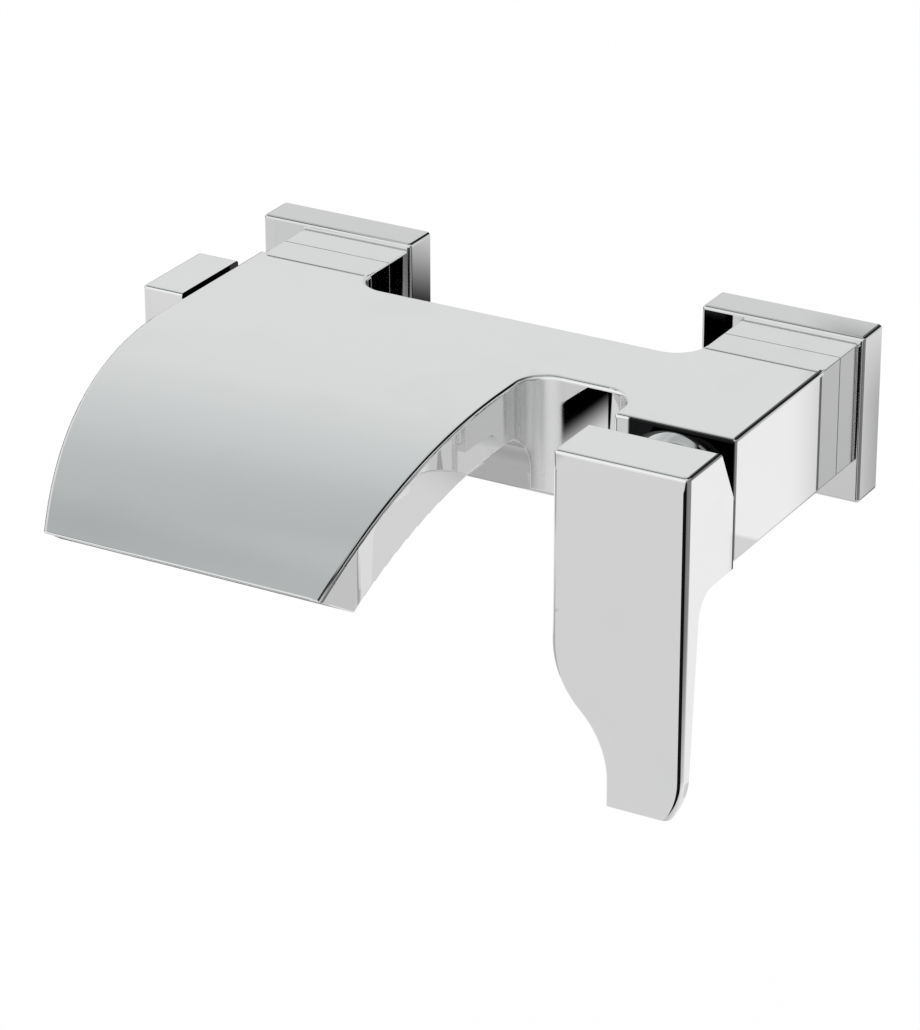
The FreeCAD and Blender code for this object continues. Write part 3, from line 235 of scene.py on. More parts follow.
class Bench:
    """A node tree that is being built."""

    def __init__(self, tree: bpy.types.NodeTree) -> None:
        """Start with an empty tree."""
        self.tree = tree
        tree.nodes.clear()

    def add(self, kind: str, settings: dict[str, Any] | None = None,
            inputs: dict[str | int, Any] | None = None, output: str | int = 0) -> Wire:
        """Add a node.

        Args:
            kind: Blender's name of the node type.
            settings: The node's own properties, and "stops" for a ramp; they are set first.
            inputs: Values or wires for its sockets, by name or place.
            output: Name or place of the output that is handed back.

        Returns:
            The chosen output.
        """
        node = self.tree.nodes.new(kind)
        for name, value in (settings or {}).items():
            if name == "stops":
                self._set_stops(node.color_ramp, value)
            else:
                setattr(node, name, value)
        for name, value in (inputs or {}).items():
            self.feed(node.inputs[name], value)
        return Wire(self, node.outputs[output] if len(node.outputs) else None)

    def feed(self, socket: bpy.types.NodeSocket, value: Any) -> None:
        """Link a wire to a socket, or set a plain value on it.

        Args:
            socket: Input of a node.
            value: A wire, or a value that the socket takes.
        """
        if isinstance(value, Wire):
            self.tree.links.new(value.socket, socket)
        else:
            socket.default_value = value

    @staticmethod
    def _set_stops(ramp: bpy.types.ColorRamp, stops: Sequence[tuple[float, Colour]]) -> None:
        """Give a colour ramp its stops.

        Args:
            ramp: Ramp of a new node.
            stops: Place and colour of each stop, in order.
        """
        while len(ramp.elements) < len(stops):
            ramp.elements.new(1.0)
        for element, (place, colour) in zip(ramp.elements, stops):
            element.position = place
            element.color = (*colour, 1.0)

    def mix(self, kind: MixKind, mask: Wire, first: Any, second: Any) -> Wire:
        """Mix two values by a mask.

        Args:
            kind: Whether they are colours or vectors.
            mask: 0 for the first value and 1 for the second.
            first: Value or wire.
            second: Value or wire.

        Returns:
            The mixed value.
        """
        name, low, high, result = kind.value
        inputs = {0: mask, low: first, high: second}
        return self.add("ShaderNodeMix", {"data_type": name}, inputs, result)

    def blend(self, mask: Wire, first: Any, second: Any) -> Wire:
        """Mix two colours by a mask."""
        return self.mix(MixKind.COLOUR, mask, rgba(first), rgba(second))

    def coordinates(self) -> Wire:
        """Place on the piece in metres."""
        return self.add("ShaderNodeTexCoord", output="Object")

    def split(self, vector: Wire) -> tuple[Wire, Wire, Wire]:
        """The three parts of a vector."""
        node = self.add("ShaderNodeSeparateXYZ", None, {"Vector": vector}).socket.node
        return tuple(Wire(self, socket) for socket in node.outputs)

    def noise(self, place: Wire, grain: Grain) -> Wire:
        """Soft noise between 0 and 1.

        Args:
            place: Coordinates.
            grain: Measures of the noise.

        Returns:
            The noise value.
        """
        if grain.stretch:
            stretched = {"Vector": place, "Scale": grain.stretch}
            place = self.add("ShaderNodeMapping", {"vector_type": "POINT"}, stretched)
        inputs = {"Vector": place, "Scale": grain.scale, "Detail": grain.detail}
        return self.add("ShaderNodeTexNoise", None, inputs)

    def bump(self, height: Wire, relief: Relief, facing: Wire | None = None) -> Wire:
        """Way that a surface with a fine relief faces.

        Args:
            height: Height of the relief from 0 to 1.
            relief: Measures of the relief.
            facing: Way that the surface under it faces, the mesh's own if left out.

        Returns:
            The way.
        """
        inputs = {"Strength": relief.strength, "Distance": relief.depth, "Height": height}
        if facing is not None:
            inputs["Normal"] = facing
        return self.add("ShaderNodeBump", None, inputs, "Normal")


def rgba(colour: Any) -> Any:
    """Colour with an alpha, or a wire as it is."""
    return colour if isinstance(colour, Wire) else (*colour, 1.0)


def node_material(name: str) -> tuple[bpy.types.Material, Bench]:
    """Make a material whose nodes are still to come.

    Args:
        name: Name of the material.

    Returns:
        The material, and the bench for its nodes.
    """
    made = bpy.data.materials.new(name)
    made.use_nodes = True
    return made, Bench(made.node_tree)


@dataclass(frozen=True)
class Finish(ABC):
    """A surface finish that makes one material."""

    name: str

    def material(self) -> bpy.types.Material:
        """Material of this finish, made once.

        Returns:
            The material.
        """
        made = bpy.data.materials.get(self.name)
        if made is None:
            made, bench = node_material(self.name)
            inputs = self.inputs(bench, bench.coordinates())
            shader = bench.add("ShaderNodeBsdfPrincipled", None, inputs)
            bench.add("ShaderNodeOutputMaterial", None, {"Surface": shader})
        return made

    def dress(self, mesh: bpy.types.Mesh) -> None:
        """Give a mesh this finish alone."""
        mesh.materials.clear()
        mesh.materials.append(self.material())

    @abstractmethod
    def inputs(self, bench: Bench, place: Wire) -> dict[str, Any]:
        """Inputs of the shader.

        Args:
            bench: Tree of the material.
            place: Place on the piece.

        Returns:
            A value or a wire for each input that is set.
        """


@dataclass(frozen=True)
class PolishedChrome(Finish):
    """Mirror chrome with faint polishing marks and dried water film."""

    name: str = "polished_chrome"
    colour: Colour = (0.842, 0.845, 0.843)
    film: Colour = (0.826, 0.831, 0.830)
    roughness: float = 0.012
    film_grain: Grain = Grain(38.0, 3.0)
    film_levels: Span = (0.52, 0.72)
    film_rough: float = 0.012
    mark_grain: Grain = Grain(900.0, 4.0, (1.0, 1.0, 0.08))
    mark_rough: float = 0.008
    swirl_grain: Grain = Grain(260.0)
    swirl_share: float = 0.6
    relief: Relief = Relief(0.012, 0.00002)

    def tint(self, bench: Bench, place: Wire, film: Wire) -> Wire:
        """Colour of the plating."""
        return bench.blend(film, self.colour, self.film)

    def dullness(self, bench: Bench, place: Wire) -> Wire | float:
        """Roughness of the plating under its film and marks."""
        return self.roughness

    def facing(self, bench: Bench, place: Wire) -> Wire:
        """Way that the metal faces."""
        return bench.add("ShaderNodeNewGeometry", output="Normal")

    def inputs(self, bench: Bench, place: Wire) -> dict[str, Any]:
        """Inputs of the shader.

        Args:
            bench: Tree of the material.
            place: Place on the piece.

        Returns:
            A value or a wire for each input that is set.
        """
        film = bench.noise(place, self.film_grain).step(*self.film_levels)
        marks = bench.noise(place, self.mark_grain)
        swirl = bench.noise(place, self.swirl_grain)
        rough = film * self.film_rough + marks * self.mark_rough + self.dullness(bench, place)
        height = swirl * self.swirl_share + marks * (1.0 - self.swirl_share)
        bump = bench.bump(height, self.relief, self.facing(bench, place))
        tint = self.tint(bench, place, film)
        return {"Base Color": tint, "Metallic": 1.0, "Roughness": rough, "Normal": bump}


@dataclass(frozen=True)
class PaintedShadeChrome(PolishedChrome):
    """Chrome with painted shade: a dark colour painted where it faces a narrow clearance between
    parts.
    """

    # Colour of the painted shade.
    dark: Colour = (0.012, 0.012, 0.013)

    @abstractmethod
    def painted_shade_mask(self, across: Wire, along: Wire) -> Wire:
        """Mask of the painted shade.

        Args:
            across: Place on the piece across the tap.
            along: Place on the piece towards the wall.

        Returns:
            1 where the shade is painted.
        """

    def tint(self, bench: Bench, place: Wire, film: Wire) -> Wire:
        """Colour of the plating, with the painted shade laid over it."""
        across, along, _ = bench.split(place)
        return bench.blend(self.painted_shade_mask(across, along), super().tint(bench, place, film), self.dark)


@dataclass(frozen=True)
class CastingChrome(PaintedShadeChrome):
    """Chrome of the casting: painted shade behind the lever, satin in one corner, exact on some
    edges.
    """

    name: str = "casting_chrome"
    # Where the shade is painted on the seat behind the lever.
    seat_front: Span = (-0.0793, -0.0797)
    seat_sides: Span = (0.0608, 0.0938)
    seat_soft: float = 0.0004
    notch_front: float = -0.0648
    notch_sides: Span = (0.022, 0.056)
    notch_radius: float = 0.0095
    notch_half: float = 0.0176
    notch_rough: float = 0.30
    satin_past: Span = (0.0005, 0.001)
    satin_soft: Span = (0.0015, 0.002)
    corner_past: float = 0.0003
    corner_soft: float = 0.0001
    spout_side: float = 0.022
    spout_top: float = 0.019
    fall_start: float = 0.081
    fall_end: float = 0.181
    fall_radius: float = 0.223
    edge: float = 0.0013
    side_zone: Span = (3.0, 2.0)
    top_zone: Span = (4.0, 3.0)
    end_soft: float = 0.0002

    def painted_shade_mask(self, across: Wire, along: Wire) -> Wire:
        """Mask of the painted shade on the seat behind the lever."""
        seat = along.step(*self.seat_front)
        return seat * across.within(*self.seat_sides, self.seat_soft)

    def dullness(self, bench: Bench, place: Wire) -> Wire:
        """Roughness of the plating, more in the notch's left corner that no wheel polishes.

        Args:
            bench: Tree of the material.
            place: Place on the casting.

        Returns:
            The roughness.
        """
        across, along, _ = bench.split(place)
        side, front, radius = self.notch_sides[0], self.notch_front, self.notch_radius
        past_side, past_front = self.satin_past
        soft_side, soft_front = self.satin_soft
        corner = across.within(side - past_side, side + radius, soft_side)
        corner = corner * along.within(front - radius - past_front, front + past_front, soft_front)
        return corner * self.notch_rough + self.roughness

    def facing(self, bench: Bench, place: Wire) -> Wire:
        """Way that the metal faces, exact in the notch's corners and on the spout's long edge.

        Args:
            bench: Tree of the material.
            place: Place on the casting.

        Returns:
            The way.
        """
        base = super().facing(bench, place)
        for side, inwards in zip(self.notch_sides, (1.0, -1.0)):
            base = self._in_corner(bench, place, base, side, inwards)
        return self._on_edge(bench, place, base)

    def _in_corner(self, bench: Bench, place: Wire, base: Wire, side: float,
                   inwards: float) -> Wire:
        """Facing in one hollow corner of the notch.

        Args:
            bench: Tree of the material.
            place: Place on the casting.
            base: Facing everywhere else.
            side: Place of the notch's side wall across the tap.
            inwards: 1 or -1, the way from that wall into the notch.

        Returns:
            The facing, towards the corner's axis inside the corner.
        """
        across, along, height = bench.split(place)
        axis, front = side + inwards * self.notch_radius, self.notch_front - self.notch_radius
        past, soft = self.corner_past, self.corner_soft
        low, high = sorted((side - inwards * past, axis - inwards * soft))
        near = across.within(low, high, soft)
        near = near * along.within(front + soft, self.notch_front + past, soft)
        near = near * height.within(-self.notch_half, self.notch_half, self.end_soft)
        return self._replace(bench, near, base, {"X": axis - across, "Y": front - along})

    def _on_edge(self, bench: Bench, place: Wire, base: Wire) -> Wire:
        """Facing on the spout's rounded right edge.

        Args:
            bench: Tree of the material.
            place: Place on the casting.
            base: Facing everywhere else.

        Returns:
            The facing, away from the edge's middle line on the edge.
        """
        across, along, height = bench.split(place)
        out = (across - (self.spout_side - self.edge)).most(0.0)
        ahead, above = along + self.fall_start, height + (self.fall_radius - self.spout_top)
        reach = (ahead * ahead + above * above).root()
        lift = (reach - (self.fall_radius - self.edge)).most(0.0) / reach
        near = across.step(*(self.spout_side - share * self.edge for share in self.side_zone))
        near = near * reach.step(*(self.fall_radius - share * self.edge for share in self.top_zone))
        near = near * along.within(-self.fall_end, -self.fall_start, self.end_soft)
        return self._replace(bench, near, base, {"X": out, "Y": lift * ahead, "Z": lift * above})

    @staticmethod
    def _replace(bench: Bench, near: Wire, base: Wire, way: dict[str, Wire]) -> Wire:
        """Take a known way instead of the mesh's own facing where a mask is one.

        Args:
            bench: Tree of the material.
            near: The mask.
            base: Facing of the mesh.
            way: Parts of the known way, of any length.

        Returns:
            The facing.
        """
        exact = bench.add("ShaderNodeCombineXYZ", None, way)
        exact = bench.add("ShaderNodeVectorMath", {"operation": "NORMALIZE"}, {0: exact})
        return bench.mix(MixKind.VECTOR, near, base, exact)


@dataclass(frozen=True)
class LeverChrome(PaintedShadeChrome):
    """Chrome of the lever, with painted shade on the back edge that runs along the casting's right
    side.
    """

    name: str = "lever_chrome"
    # Where the shade is painted along the back edge.
    shaded_edge_depth: Span = (-0.0820, -0.0817)
    shaded_edge_side: Span = (0.0930, 0.0936)

    def painted_shade_mask(self, across: Wire, along: Wire) -> Wire:
        """Mask of the painted shade on the back edge."""
        return along.step(*self.shaded_edge_depth) * across.step(*self.shaded_edge_side)


@dataclass(frozen=True)
class KnobChrome(PaintedShadeChrome):
    """Chrome of the diverter knob, with painted shade on the face that turns against the casting.
    """

    name: str = "knob_chrome"
    # Where the shade is painted on the face towards the casting.
    back: Span = (-0.0970, -0.0969)

    def painted_shade_mask(self, across: Wire, along: Wire) -> Wire:
        """Mask of the painted shade on the face towards the casting."""
        return across.step(*self.back)


@dataclass(frozen=True)
class TurnedMetal(Finish):
    """Lathe-turned metal with fine rings of the tool and dull oxide patches."""

    name: str = "turned_brass"
    colour: Colour = (0.78, 0.60, 0.30)
    oxide: Colour = (0.56, 0.40, 0.19)
    roughness: float = 0.24
    ring_pitch: float = 0.0006
    ring_sway: float = 0.6
    ring_share: float = 0.6
    patch_grain: Grain = Grain(120.0, 4.0)
    patch_levels: Span = (0.45, 0.75)
    patch_rough: float = 0.16
    grain: Grain = Grain(2600.0)
    grain_rough: float = 0.06
    relief: Relief = Relief(0.25, 0.00004)
    band_factor: ClassVar[float] = 20.0

    def inputs(self, bench: Bench, place: Wire) -> dict[str, Any]:
        """Inputs of the shader.

        Args:
            bench: Tree of the material.
            place: Place on the piece.

        Returns:
            A value or a wire for each input that is set.
        """
        patches = bench.noise(place, self.patch_grain).step(*self.patch_levels)
        grain = bench.noise(place, self.grain)
        tint = bench.blend(patches, self.colour, self.oxide)
        scale = 1.0 / self.ring_pitch / self.band_factor
        rings = bench.add(
            "ShaderNodeTexWave", {"wave_type": "BANDS", "bands_direction": "DIAGONAL"},
            {"Vector": place, "Scale": scale, "Distortion": self.ring_sway}, "Fac")
        bump = bench.bump(rings * self.ring_share + grain * (1.0 - self.ring_share), self.relief)
        rough = self.roughness + patches * self.patch_rough + grain * self.grain_rough
        return {"Base Color": tint, "Metallic": 1.0, "Roughness": rough, "Normal": bump}


@dataclass(frozen=True)
class Moulded(Finish):
    """Moulded or pressed material with a fine grain and slightly uneven colour."""

    name: str = "seal_rubber"
    colour: Colour = (0.018, 0.018, 0.020)
    worn: Colour = (0.050, 0.050, 0.053)
    roughness: float = 0.55
    grain: Grain = Grain(3200.0)
    relief: Relief = Relief(0.35, 0.00003)
    grain_rough: float = 0.1
    patch_grain: Grain = Grain(160.0, 3.0)
    patch_levels: Span = (0.4, 0.75)
    patch_rough: float = 0.05

    def inputs(self, bench: Bench, place: Wire) -> dict[str, Any]:
        """Inputs of the shader.

        Args:
            bench: Tree of the material.
            place: Place on the piece.

        Returns:
            A value or a wire for each input that is set.
        """
        patches = bench.noise(place, self.patch_grain).step(*self.patch_levels)
        grain = bench.noise(place, self.grain)
        tint = bench.blend(patches, self.colour, self.worn)
        rough = self.roughness + grain * self.grain_rough - patches * self.patch_rough
        return {"Base Color": tint, "Roughness": rough, "Normal": bench.bump(grain, self.relief)}


CHROME = PolishedChrome()
# Darker copy of the polished chrome for the wall flanges: painted shade.
SHADED_FLANGE_CHROME = PolishedChrome("shaded_flange_chrome", (0.720, 0.724, 0.723), (0.705, 0.710, 0.710))
CASTING = CastingChrome()
LEVER = LeverChrome()
KNOB = KnobChrome()
BRASS = TurnedMetal()
STEEL = TurnedMetal("plain_steel", (0.60, 0.60, 0.61), (0.42, 0.42, 0.43), 0.30, 0.0004)
RUBBER = Moulded()
CERAMIC = Moulded("lapped_ceramic", (0.84, 0.83, 0.79), (0.74, 0.73, 0.69), 0.14,
                  Grain(5200.0), Relief(0.35, 0.00001))
PLASTIC = Moulded("moulded_plastic", (0.47, 0.48, 0.49), (0.38, 0.39, 0.40), 0.38, Grain(2400.0))

FINISH_OF: dict[Slot, Finish] = {
    Slot.CHROME: CHROME, Slot.BRASS: BRASS, Slot.STEEL: STEEL,
    Slot.RUBBER: RUBBER, Slot.CERAMIC: CERAMIC, Slot.PLASTIC: PLASTIC,
}
SLOT_OF: dict[str, Slot] = {
    part["node"]: Slot(part["material_slot"]) for part in frame["record"]["subparts"]}


def put(name: str, data: bpy.types.ID) -> bpy.types.Object:
    """Put an object into the scene.

    Args:
        name: Name of the object.
        data: Its mesh, camera or lamp.

    Returns:
        The object.
    """
    made = bpy.data.objects.new(name, data)
    bpy.context.scene.collection.objects.link(made)
    return made


def lathe(form: bmesh.types.BMesh, profile: Profile, segments: int) -> None:
    """Turn a profile about the Y axis.

    Args:
        form: Mesh that gets the turned faces.
        profile: Radius and height of each ring.
        segments: Number of corners of a ring.
    """
    angles = [math.tau * number / segments for number in range(segments)]
    rings = [[form.verts.new((radius * math.cos(angle), height, -radius * math.sin(angle)))
              for angle in angles] for radius, height in profile]
    for low, high in zip(rings, rings[1:]):
        for number in range(segments):
            after = (number + 1) % segments
            form.faces.new((low[number], low[after], high[after], high[number]))


def finish_form(form: bmesh.types.BMesh, place: Matrix, crease: float = 40.0) -> bpy.types.Mesh:
    """Close a form, turn its faces outwards and put it in place.

    Args:
        form: The form, which is used up.
        place: Where it goes.
        crease: Angle in degrees from which an edge is sharp.

    Returns:
        The mesh.
    """
    bmesh.ops.remove_doubles(form, verts=form.verts, dist=WELD)
    bmesh.ops.recalc_face_normals(form, faces=form.faces)
    for face in form.faces:
        face.smooth = True
    mesh = bpy.data.meshes.new("form")
    form.to_mesh(mesh)
    form.free()
    mesh.transform(place)
    mesh.set_sharp_from_angle(angle=math.radians(crease))
    return mesh


@dataclass(frozen=True)
class PipeThread:
    """Rounded pipe thread that runs up the Y axis from its shoulder."""

    crest: float = 10.48 * MM
    depth: float = 1.16 * MM
    pitch: float = 1.814 * MM
    length: float = 18.0 * MM
    segments: int = 72
    rows_per_turn: int = 12
    flank: ClassVar[Span] = (0.1, 0.9)
    run_out: ClassVar[Span] = (0.0, 1.2)
    spare_turns: ClassVar[float] = 8.0

    @property
    def root(self) -> float:
        """Radius between the ridges and at both ends."""
        return self.crest - self.depth

    def sleeve(self, finish: Finish) -> bpy.types.Mesh:
        """Make the threaded surface with Geometry Nodes.

        Args:
            finish: Surface of the thread.

        Returns:
            An open sleeve as a plain mesh.
        """
        group, sockets = self._tree(finish.material())
        carrier = put("thread_sleeve", bpy.data.meshes.new("thread_sleeve"))
        cutter = carrier.modifiers.new("thread", "NODES")
        cutter.node_group = group
        rows = round(self.length / self.pitch * self.rows_per_turn)
        values = {"Crest": self.crest, "Depth": self.depth, "Pitch": self.pitch,
                  "Length": self.length, "Around": self.segments + 1, "Rows": rows + 1}
        for name, value in values.items():
            cutter[sockets[name]] = value
        ready = carrier.evaluated_get(bpy.context.evaluated_depsgraph_get())
        mesh = bpy.data.meshes.new_from_object(ready)
        bpy.data.objects.remove(carrier)
        return mesh

    @classmethod
    def _tree(cls, material: bpy.types.Material) -> tuple[bpy.types.NodeTree, dict[str, str]]:
        """Node tree of the thread, made once for each surface.

        Args:
            material: Surface of the thread.

        Returns:
            The tree, and the identifier of each named input.
        """
        name = f"pipe_thread_{material.name}"
        group = bpy.data.node_groups.get(name)
        if group is None:
            group = bpy.data.node_groups.new(name, "GeometryNodeTree")
            group.interface.new_socket(
                "Geometry", in_out="OUTPUT", socket_type="NodeSocketGeometry")
            for label in ("Crest", "Depth", "Pitch", "Length"):
                group.interface.new_socket(label, in_out="INPUT", socket_type="NodeSocketFloat")
            for label in ("Around", "Rows"):
                group.interface.new_socket(label, in_out="INPUT", socket_type="NodeSocketInt")
            bench = Bench(group)
            given = bench.add("NodeGroupInput").socket.node
            size = {socket.name: Wire(bench, socket) for socket in given.outputs if socket.name}
            sheet = bench.add("GeometryNodeMeshGrid", None, {
                "Size X": 1.0, "Size Y": 1.0,
                "Vertices X": size["Around"], "Vertices Y": size["Rows"]})
            across, along, _ = bench.split(bench.add("GeometryNodeInputPosition"))
            turn = across + 0.5
            height = (along + 0.5) * size["Length"]
            wave = (height / size["Pitch"] - turn + cls.spare_turns).part() * 2.0 - 1.0
            ridge = abs(wave).step(*cls.flank)
            fade = (height / size["Pitch"]).least((size["Length"] - height) / size["Pitch"])
            radius = size["Crest"] - size["Depth"] * (1.0 - ridge * fade.step(*cls.run_out))
            angle = turn * math.tau
            spot = bench.add("ShaderNodeCombineXYZ", None, {
                "X": radius * angle.cosine(), "Y": height, "Z": 0.0 - radius * angle.sine()})
            tube = bench.add("GeometryNodeSetPosition", None, {"Geometry": sheet, "Position": spot})
            weld = {"Geometry": tube, "Distance": WELD}
            tube = bench.add("GeometryNodeMergeByDistance", None, weld)
            tube = bench.add("GeometryNodeRealizeInstances", None, {"Geometry": tube})
            coat = {"Geometry": tube, "Material": material}
            tube = bench.add("GeometryNodeSetMaterial", None, coat)
            bench.add("NodeGroupOutput", None, {"Geometry": tube})
        sockets = {item.name: item.identifier for item in group.interface.items_tree
                   if item.in_out == "INPUT"}
        return group, sockets

    def spigot(self, rest: Profile, place: Matrix, finish: Finish) -> bpy.types.Mesh:
        """Make a turned piece whose outside is this thread.

        Args:
            rest: Rings of the rest of its section, from the thread's far end round to its shoulder.
            place: Where the piece goes.
            finish: Its surface.

        Returns:
            The closed mesh.
        """
        form = bmesh.new()
        form.from_mesh(self.sleeve(finish))
        lathe(form, [(self.root, self.length), *rest, (self.root, 0.0)], self.segments)
        return finish_form(form, place)


@dataclass
class SubAssembly(ABC):
    """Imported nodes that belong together, with the pieces that finish them."""

    nodes: tuple[str, ...]
    special: dict[str, Finish] = field(default_factory=dict)

    def build(self) -> None:
        """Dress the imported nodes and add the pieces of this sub-assembly."""
        for name in self.nodes:
            finish = self.special.get(name, FINISH_OF[SLOT_OF[name]])
            finish.dress(frame["nodes"][name].data)
            LOG.info("node %s: %s", name, finish.name)
        self.add_pieces()

    def add_pieces(self) -> None:
        """Add the pieces that the solids only hint at."""

    @staticmethod
    def stand_for(node: str, name: str, mesh: bpy.types.Mesh, body: Body) -> None:
        """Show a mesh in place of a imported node.

        Args:
            node: The node that it stands for.
            name: Name of the piece.
            mesh: Its mesh.
            body: Body that it rides on.
        """
        slot = SLOT_OF[node]
        mesh.name = name
        FINISH_OF[slot].dress(mesh)
        piece = put(name, mesh)
        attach(piece, body.value)
        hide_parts(node)
        LOG.info("piece %s: %d faces in place of %s", name, len(mesh.polygons), node)


@dataclass(frozen=True)
class GrubScrew:
    """Headless screw with a hexagon socket, standing on the Z axis and opening downwards."""

    node: str
    piece: str
    body: Body
    flats: float
    depth: float
    chamfer: float = 0.35 * MM
    corners: int = 6
    steps: int = 6
    cap_share: float = 0.4
    tip_share: float = 0.3
    crease: float = 30.0

    def mesh(self) -> bpy.types.Mesh:
        """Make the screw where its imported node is.

        Returns:
            The closed mesh.
        """
        low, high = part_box(self.node)
        radius, length = (high.x - low.x) / 2.0, high.z - low.z
        form = bmesh.new()
        count, slant = self.corners * self.steps, self.chamfer
        profile = [(self.cap_share * radius, length), (radius - slant, length),
                   (radius, length - slant), (radius, slant), (radius - slant, 0.0)]
        lathe(form, profile, count)
        rim = self._hexagon(form, 0.0, count)
        floor = self._hexagon(form, self.depth, count)
        form.verts.ensure_lookup_table()
        last = (len(profile) - 1) * count
        top, edge = form.verts[:count], form.verts[last:last + count]
        tip = form.verts.new((0.0, self.depth + self.tip_share * self.flats, 0.0))
        cap = form.verts.new((0.0, length, 0.0))
        for number in range(count):
            after = (number + 1) % count
            form.faces.new((edge[number], edge[after], rim[after], rim[number]))
            form.faces.new((rim[number], rim[after], floor[after], floor[number]))
            form.faces.new((floor[number], floor[after], tip))
            form.faces.new((top[number], top[after], cap))
        centre = ((low.x + high.x) / 2.0, (low.y + high.y) / 2.0, low.z)
        upright = Matrix.Rotation(math.radians(90.0), 4, "X")
        return finish_form(form, Matrix.Translation(centre) @ upright, self.crease)

    def _hexagon(self, form: bmesh.types.BMesh, height: float,
                 count: int) -> list[bmesh.types.BMVert]:
        """Ring of corners along the socket's hexagon.

        Args:
            form: Mesh that gets the corners.
            height: Height of the ring.
            count: Number of its corners.

        Returns:
            The corners in order.
        """
        ring = []
        part = math.pi / self.corners
        for number in range(count):
            angle = math.tau * number / count
            reach = self.flats / 2.0 / math.cos((angle + part) % (2.0 * part) - part)
            ring.append(form.verts.new((reach * math.cos(angle), height, -reach * math.sin(angle))))
        return ring


@dataclass
class ScrewedGrip(SubAssembly):
    """A grip and what it turns, held together by a grub screw."""

    screw: GrubScrew = field(kw_only=True)

    def add_pieces(self) -> None:
        """Give the grub screw its hexagon socket."""
        self.stand_for(self.screw.node, self.screw.piece, self.screw.mesh(), self.screw.body)


@dataclass
class WallConnection(SubAssembly):
    """Flange, nut cover and the threaded union that screws into the wall."""

    nodes: tuple[str, ...] = ()
    side: Side = Side.LEFT
    thread: PipeThread = PipeThread()
    bore: float = 6.5 * MM
    outer_thread: float = 13.22 * MM
    collar: float = 15.22 * MM
    collar_depth: float = 4.0 * MM
    chamfer: float = 0.8 * MM

    def __post_init__(self) -> None:
        """Name the nodes of this side."""
        kinds = ("wall_flange", "nut_cover", "union", "union_nut", "inlet_nipple", "filter_washer")
        self.nodes = tuple(f"{self.side.value}_{kind}" for kind in kinds)
        # The flange takes the darker copy of the chrome, which is painted shade.
        self.special = {self.nodes[0]: SHADED_FLANGE_CHROME}

    def add_pieces(self) -> None:
        """Put a threaded union in place of the plain one."""
        node = f"{self.side.value}_union"
        low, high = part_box(node)
        end, edge = low.y, self.chamfer
        rest = [(self.bore + edge, high.y), (self.bore, high.y - edge), (self.bore, end),
                (self.outer_thread - edge, end), (self.outer_thread, end + edge),
                (self.outer_thread, -self.collar_depth), (self.collar - edge, -self.collar_depth),
                (self.collar, edge - self.collar_depth), (self.collar, -edge),
                (self.collar - edge, 0.0)]
        place = Matrix.Translation(((low.x + high.x) / 2.0, 0.0, (low.z + high.z) / 2.0))
        mesh = self.thread.spigot(rest, place, FINISH_OF[SLOT_OF[node]])
        self.stand_for(node, f"{self.side.value}_threaded_union", mesh, Body.TAP)


@dataclass
class SpoutCasting(SubAssembly):
    """The casting with its falling spout, its base plate and the slotted strip at the lip."""

    nodes: tuple[str, ...] = ("mixer_body", "spout_base_plate", "outlet_strip")
    special: dict[str, Finish] = field(default_factory=lambda: {"mixer_body": CASTING})


@dataclass
class MixingValve(SubAssembly):
    """Ceramic disc cartridge and its dome in the right arm."""

    nodes: tuple[str, ...] = (
        "port_seals", "cartridge_base", "fixed_disc", "cartridge_housing", "cartridge_nut",
        "valve_dome", "valve_carrier", "pivot_pin", "moving_disc")


@dataclass
class Lever(ScrewedGrip):
    """Lever on its square spindle, held by a grub screw under a plug."""

    nodes: tuple[str, ...] = ("lever_spindle", "lever_handle", "lever_grub_screw", "lever_plug")
    special: dict[str, Finish] = field(default_factory=lambda: {"lever_handle": LEVER})
    screw: GrubScrew = GrubScrew(
        "lever_grub_screw", "lever_socket_screw", Body.LEVER, 2.5 * MM, 2.6 * MM)


@dataclass
class Diverter(ScrewedGrip):
    """Knob, spindle and discs that send the water to the spout or to the shower."""

    nodes: tuple[str, ...] = (
        "diverter_bush", "bush_seal", "diverter_seat", "diverter_rotor", "diverter_spindle",
        "spindle_seals", "diverter_knob", "knob_grub_screw")
    special: dict[str, Finish] = field(default_factory=lambda: {"diverter_knob": KNOB})
    screw: GrubScrew = GrubScrew(
        "knob_grub_screw", "knob_socket_screw", Body.DIVERTER, 2.0 * MM, 2.2 * MM)


@dataclass
class ShowerOutlet(SubAssembly):
    """Threaded nipple for the shower hose under the left arm."""

    nodes: tuple[str, ...] = ("shower_outlet", "outlet_seal")
    thread: PipeThread = PipeThread(length=12.0 * MM)
    bore: float = 6.0 * MM
    flange: float = 11.8 * MM
    flange_depth: float = 2.0 * MM
    grip: float = 8.9 * MM
    chamfer: float = 0.6 * MM

    def add_pieces(self) -> None:
        """Put a threaded nipple in place of the plain one."""
        low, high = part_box("shower_outlet")
        shoulder = low.z + self.thread.length
        top, edge = shoulder - high.z, self.chamfer
        end, rim = self.thread.length, edge / 2.0
        rest = [(self.bore + edge, end), (self.bore, end - edge), (self.bore, top),
                (self.grip, top), (self.grip, -self.flange_depth),
                (self.flange - rim, -self.flange_depth), (self.flange, rim - self.flange_depth),
                (self.flange, -rim), (self.flange - rim, 0.0)]
        centre = ((low.x + high.x) / 2.0, (low.y + high.y) / 2.0, shoulder)
        downwards = Matrix.Rotation(math.radians(-90.0), 4, "X")
        mesh = self.thread.spigot(rest, Matrix.Translation(centre) @ downwards, CHROME)
        self.stand_for("shower_outlet", "threaded_shower_outlet", mesh, Body.TAP)


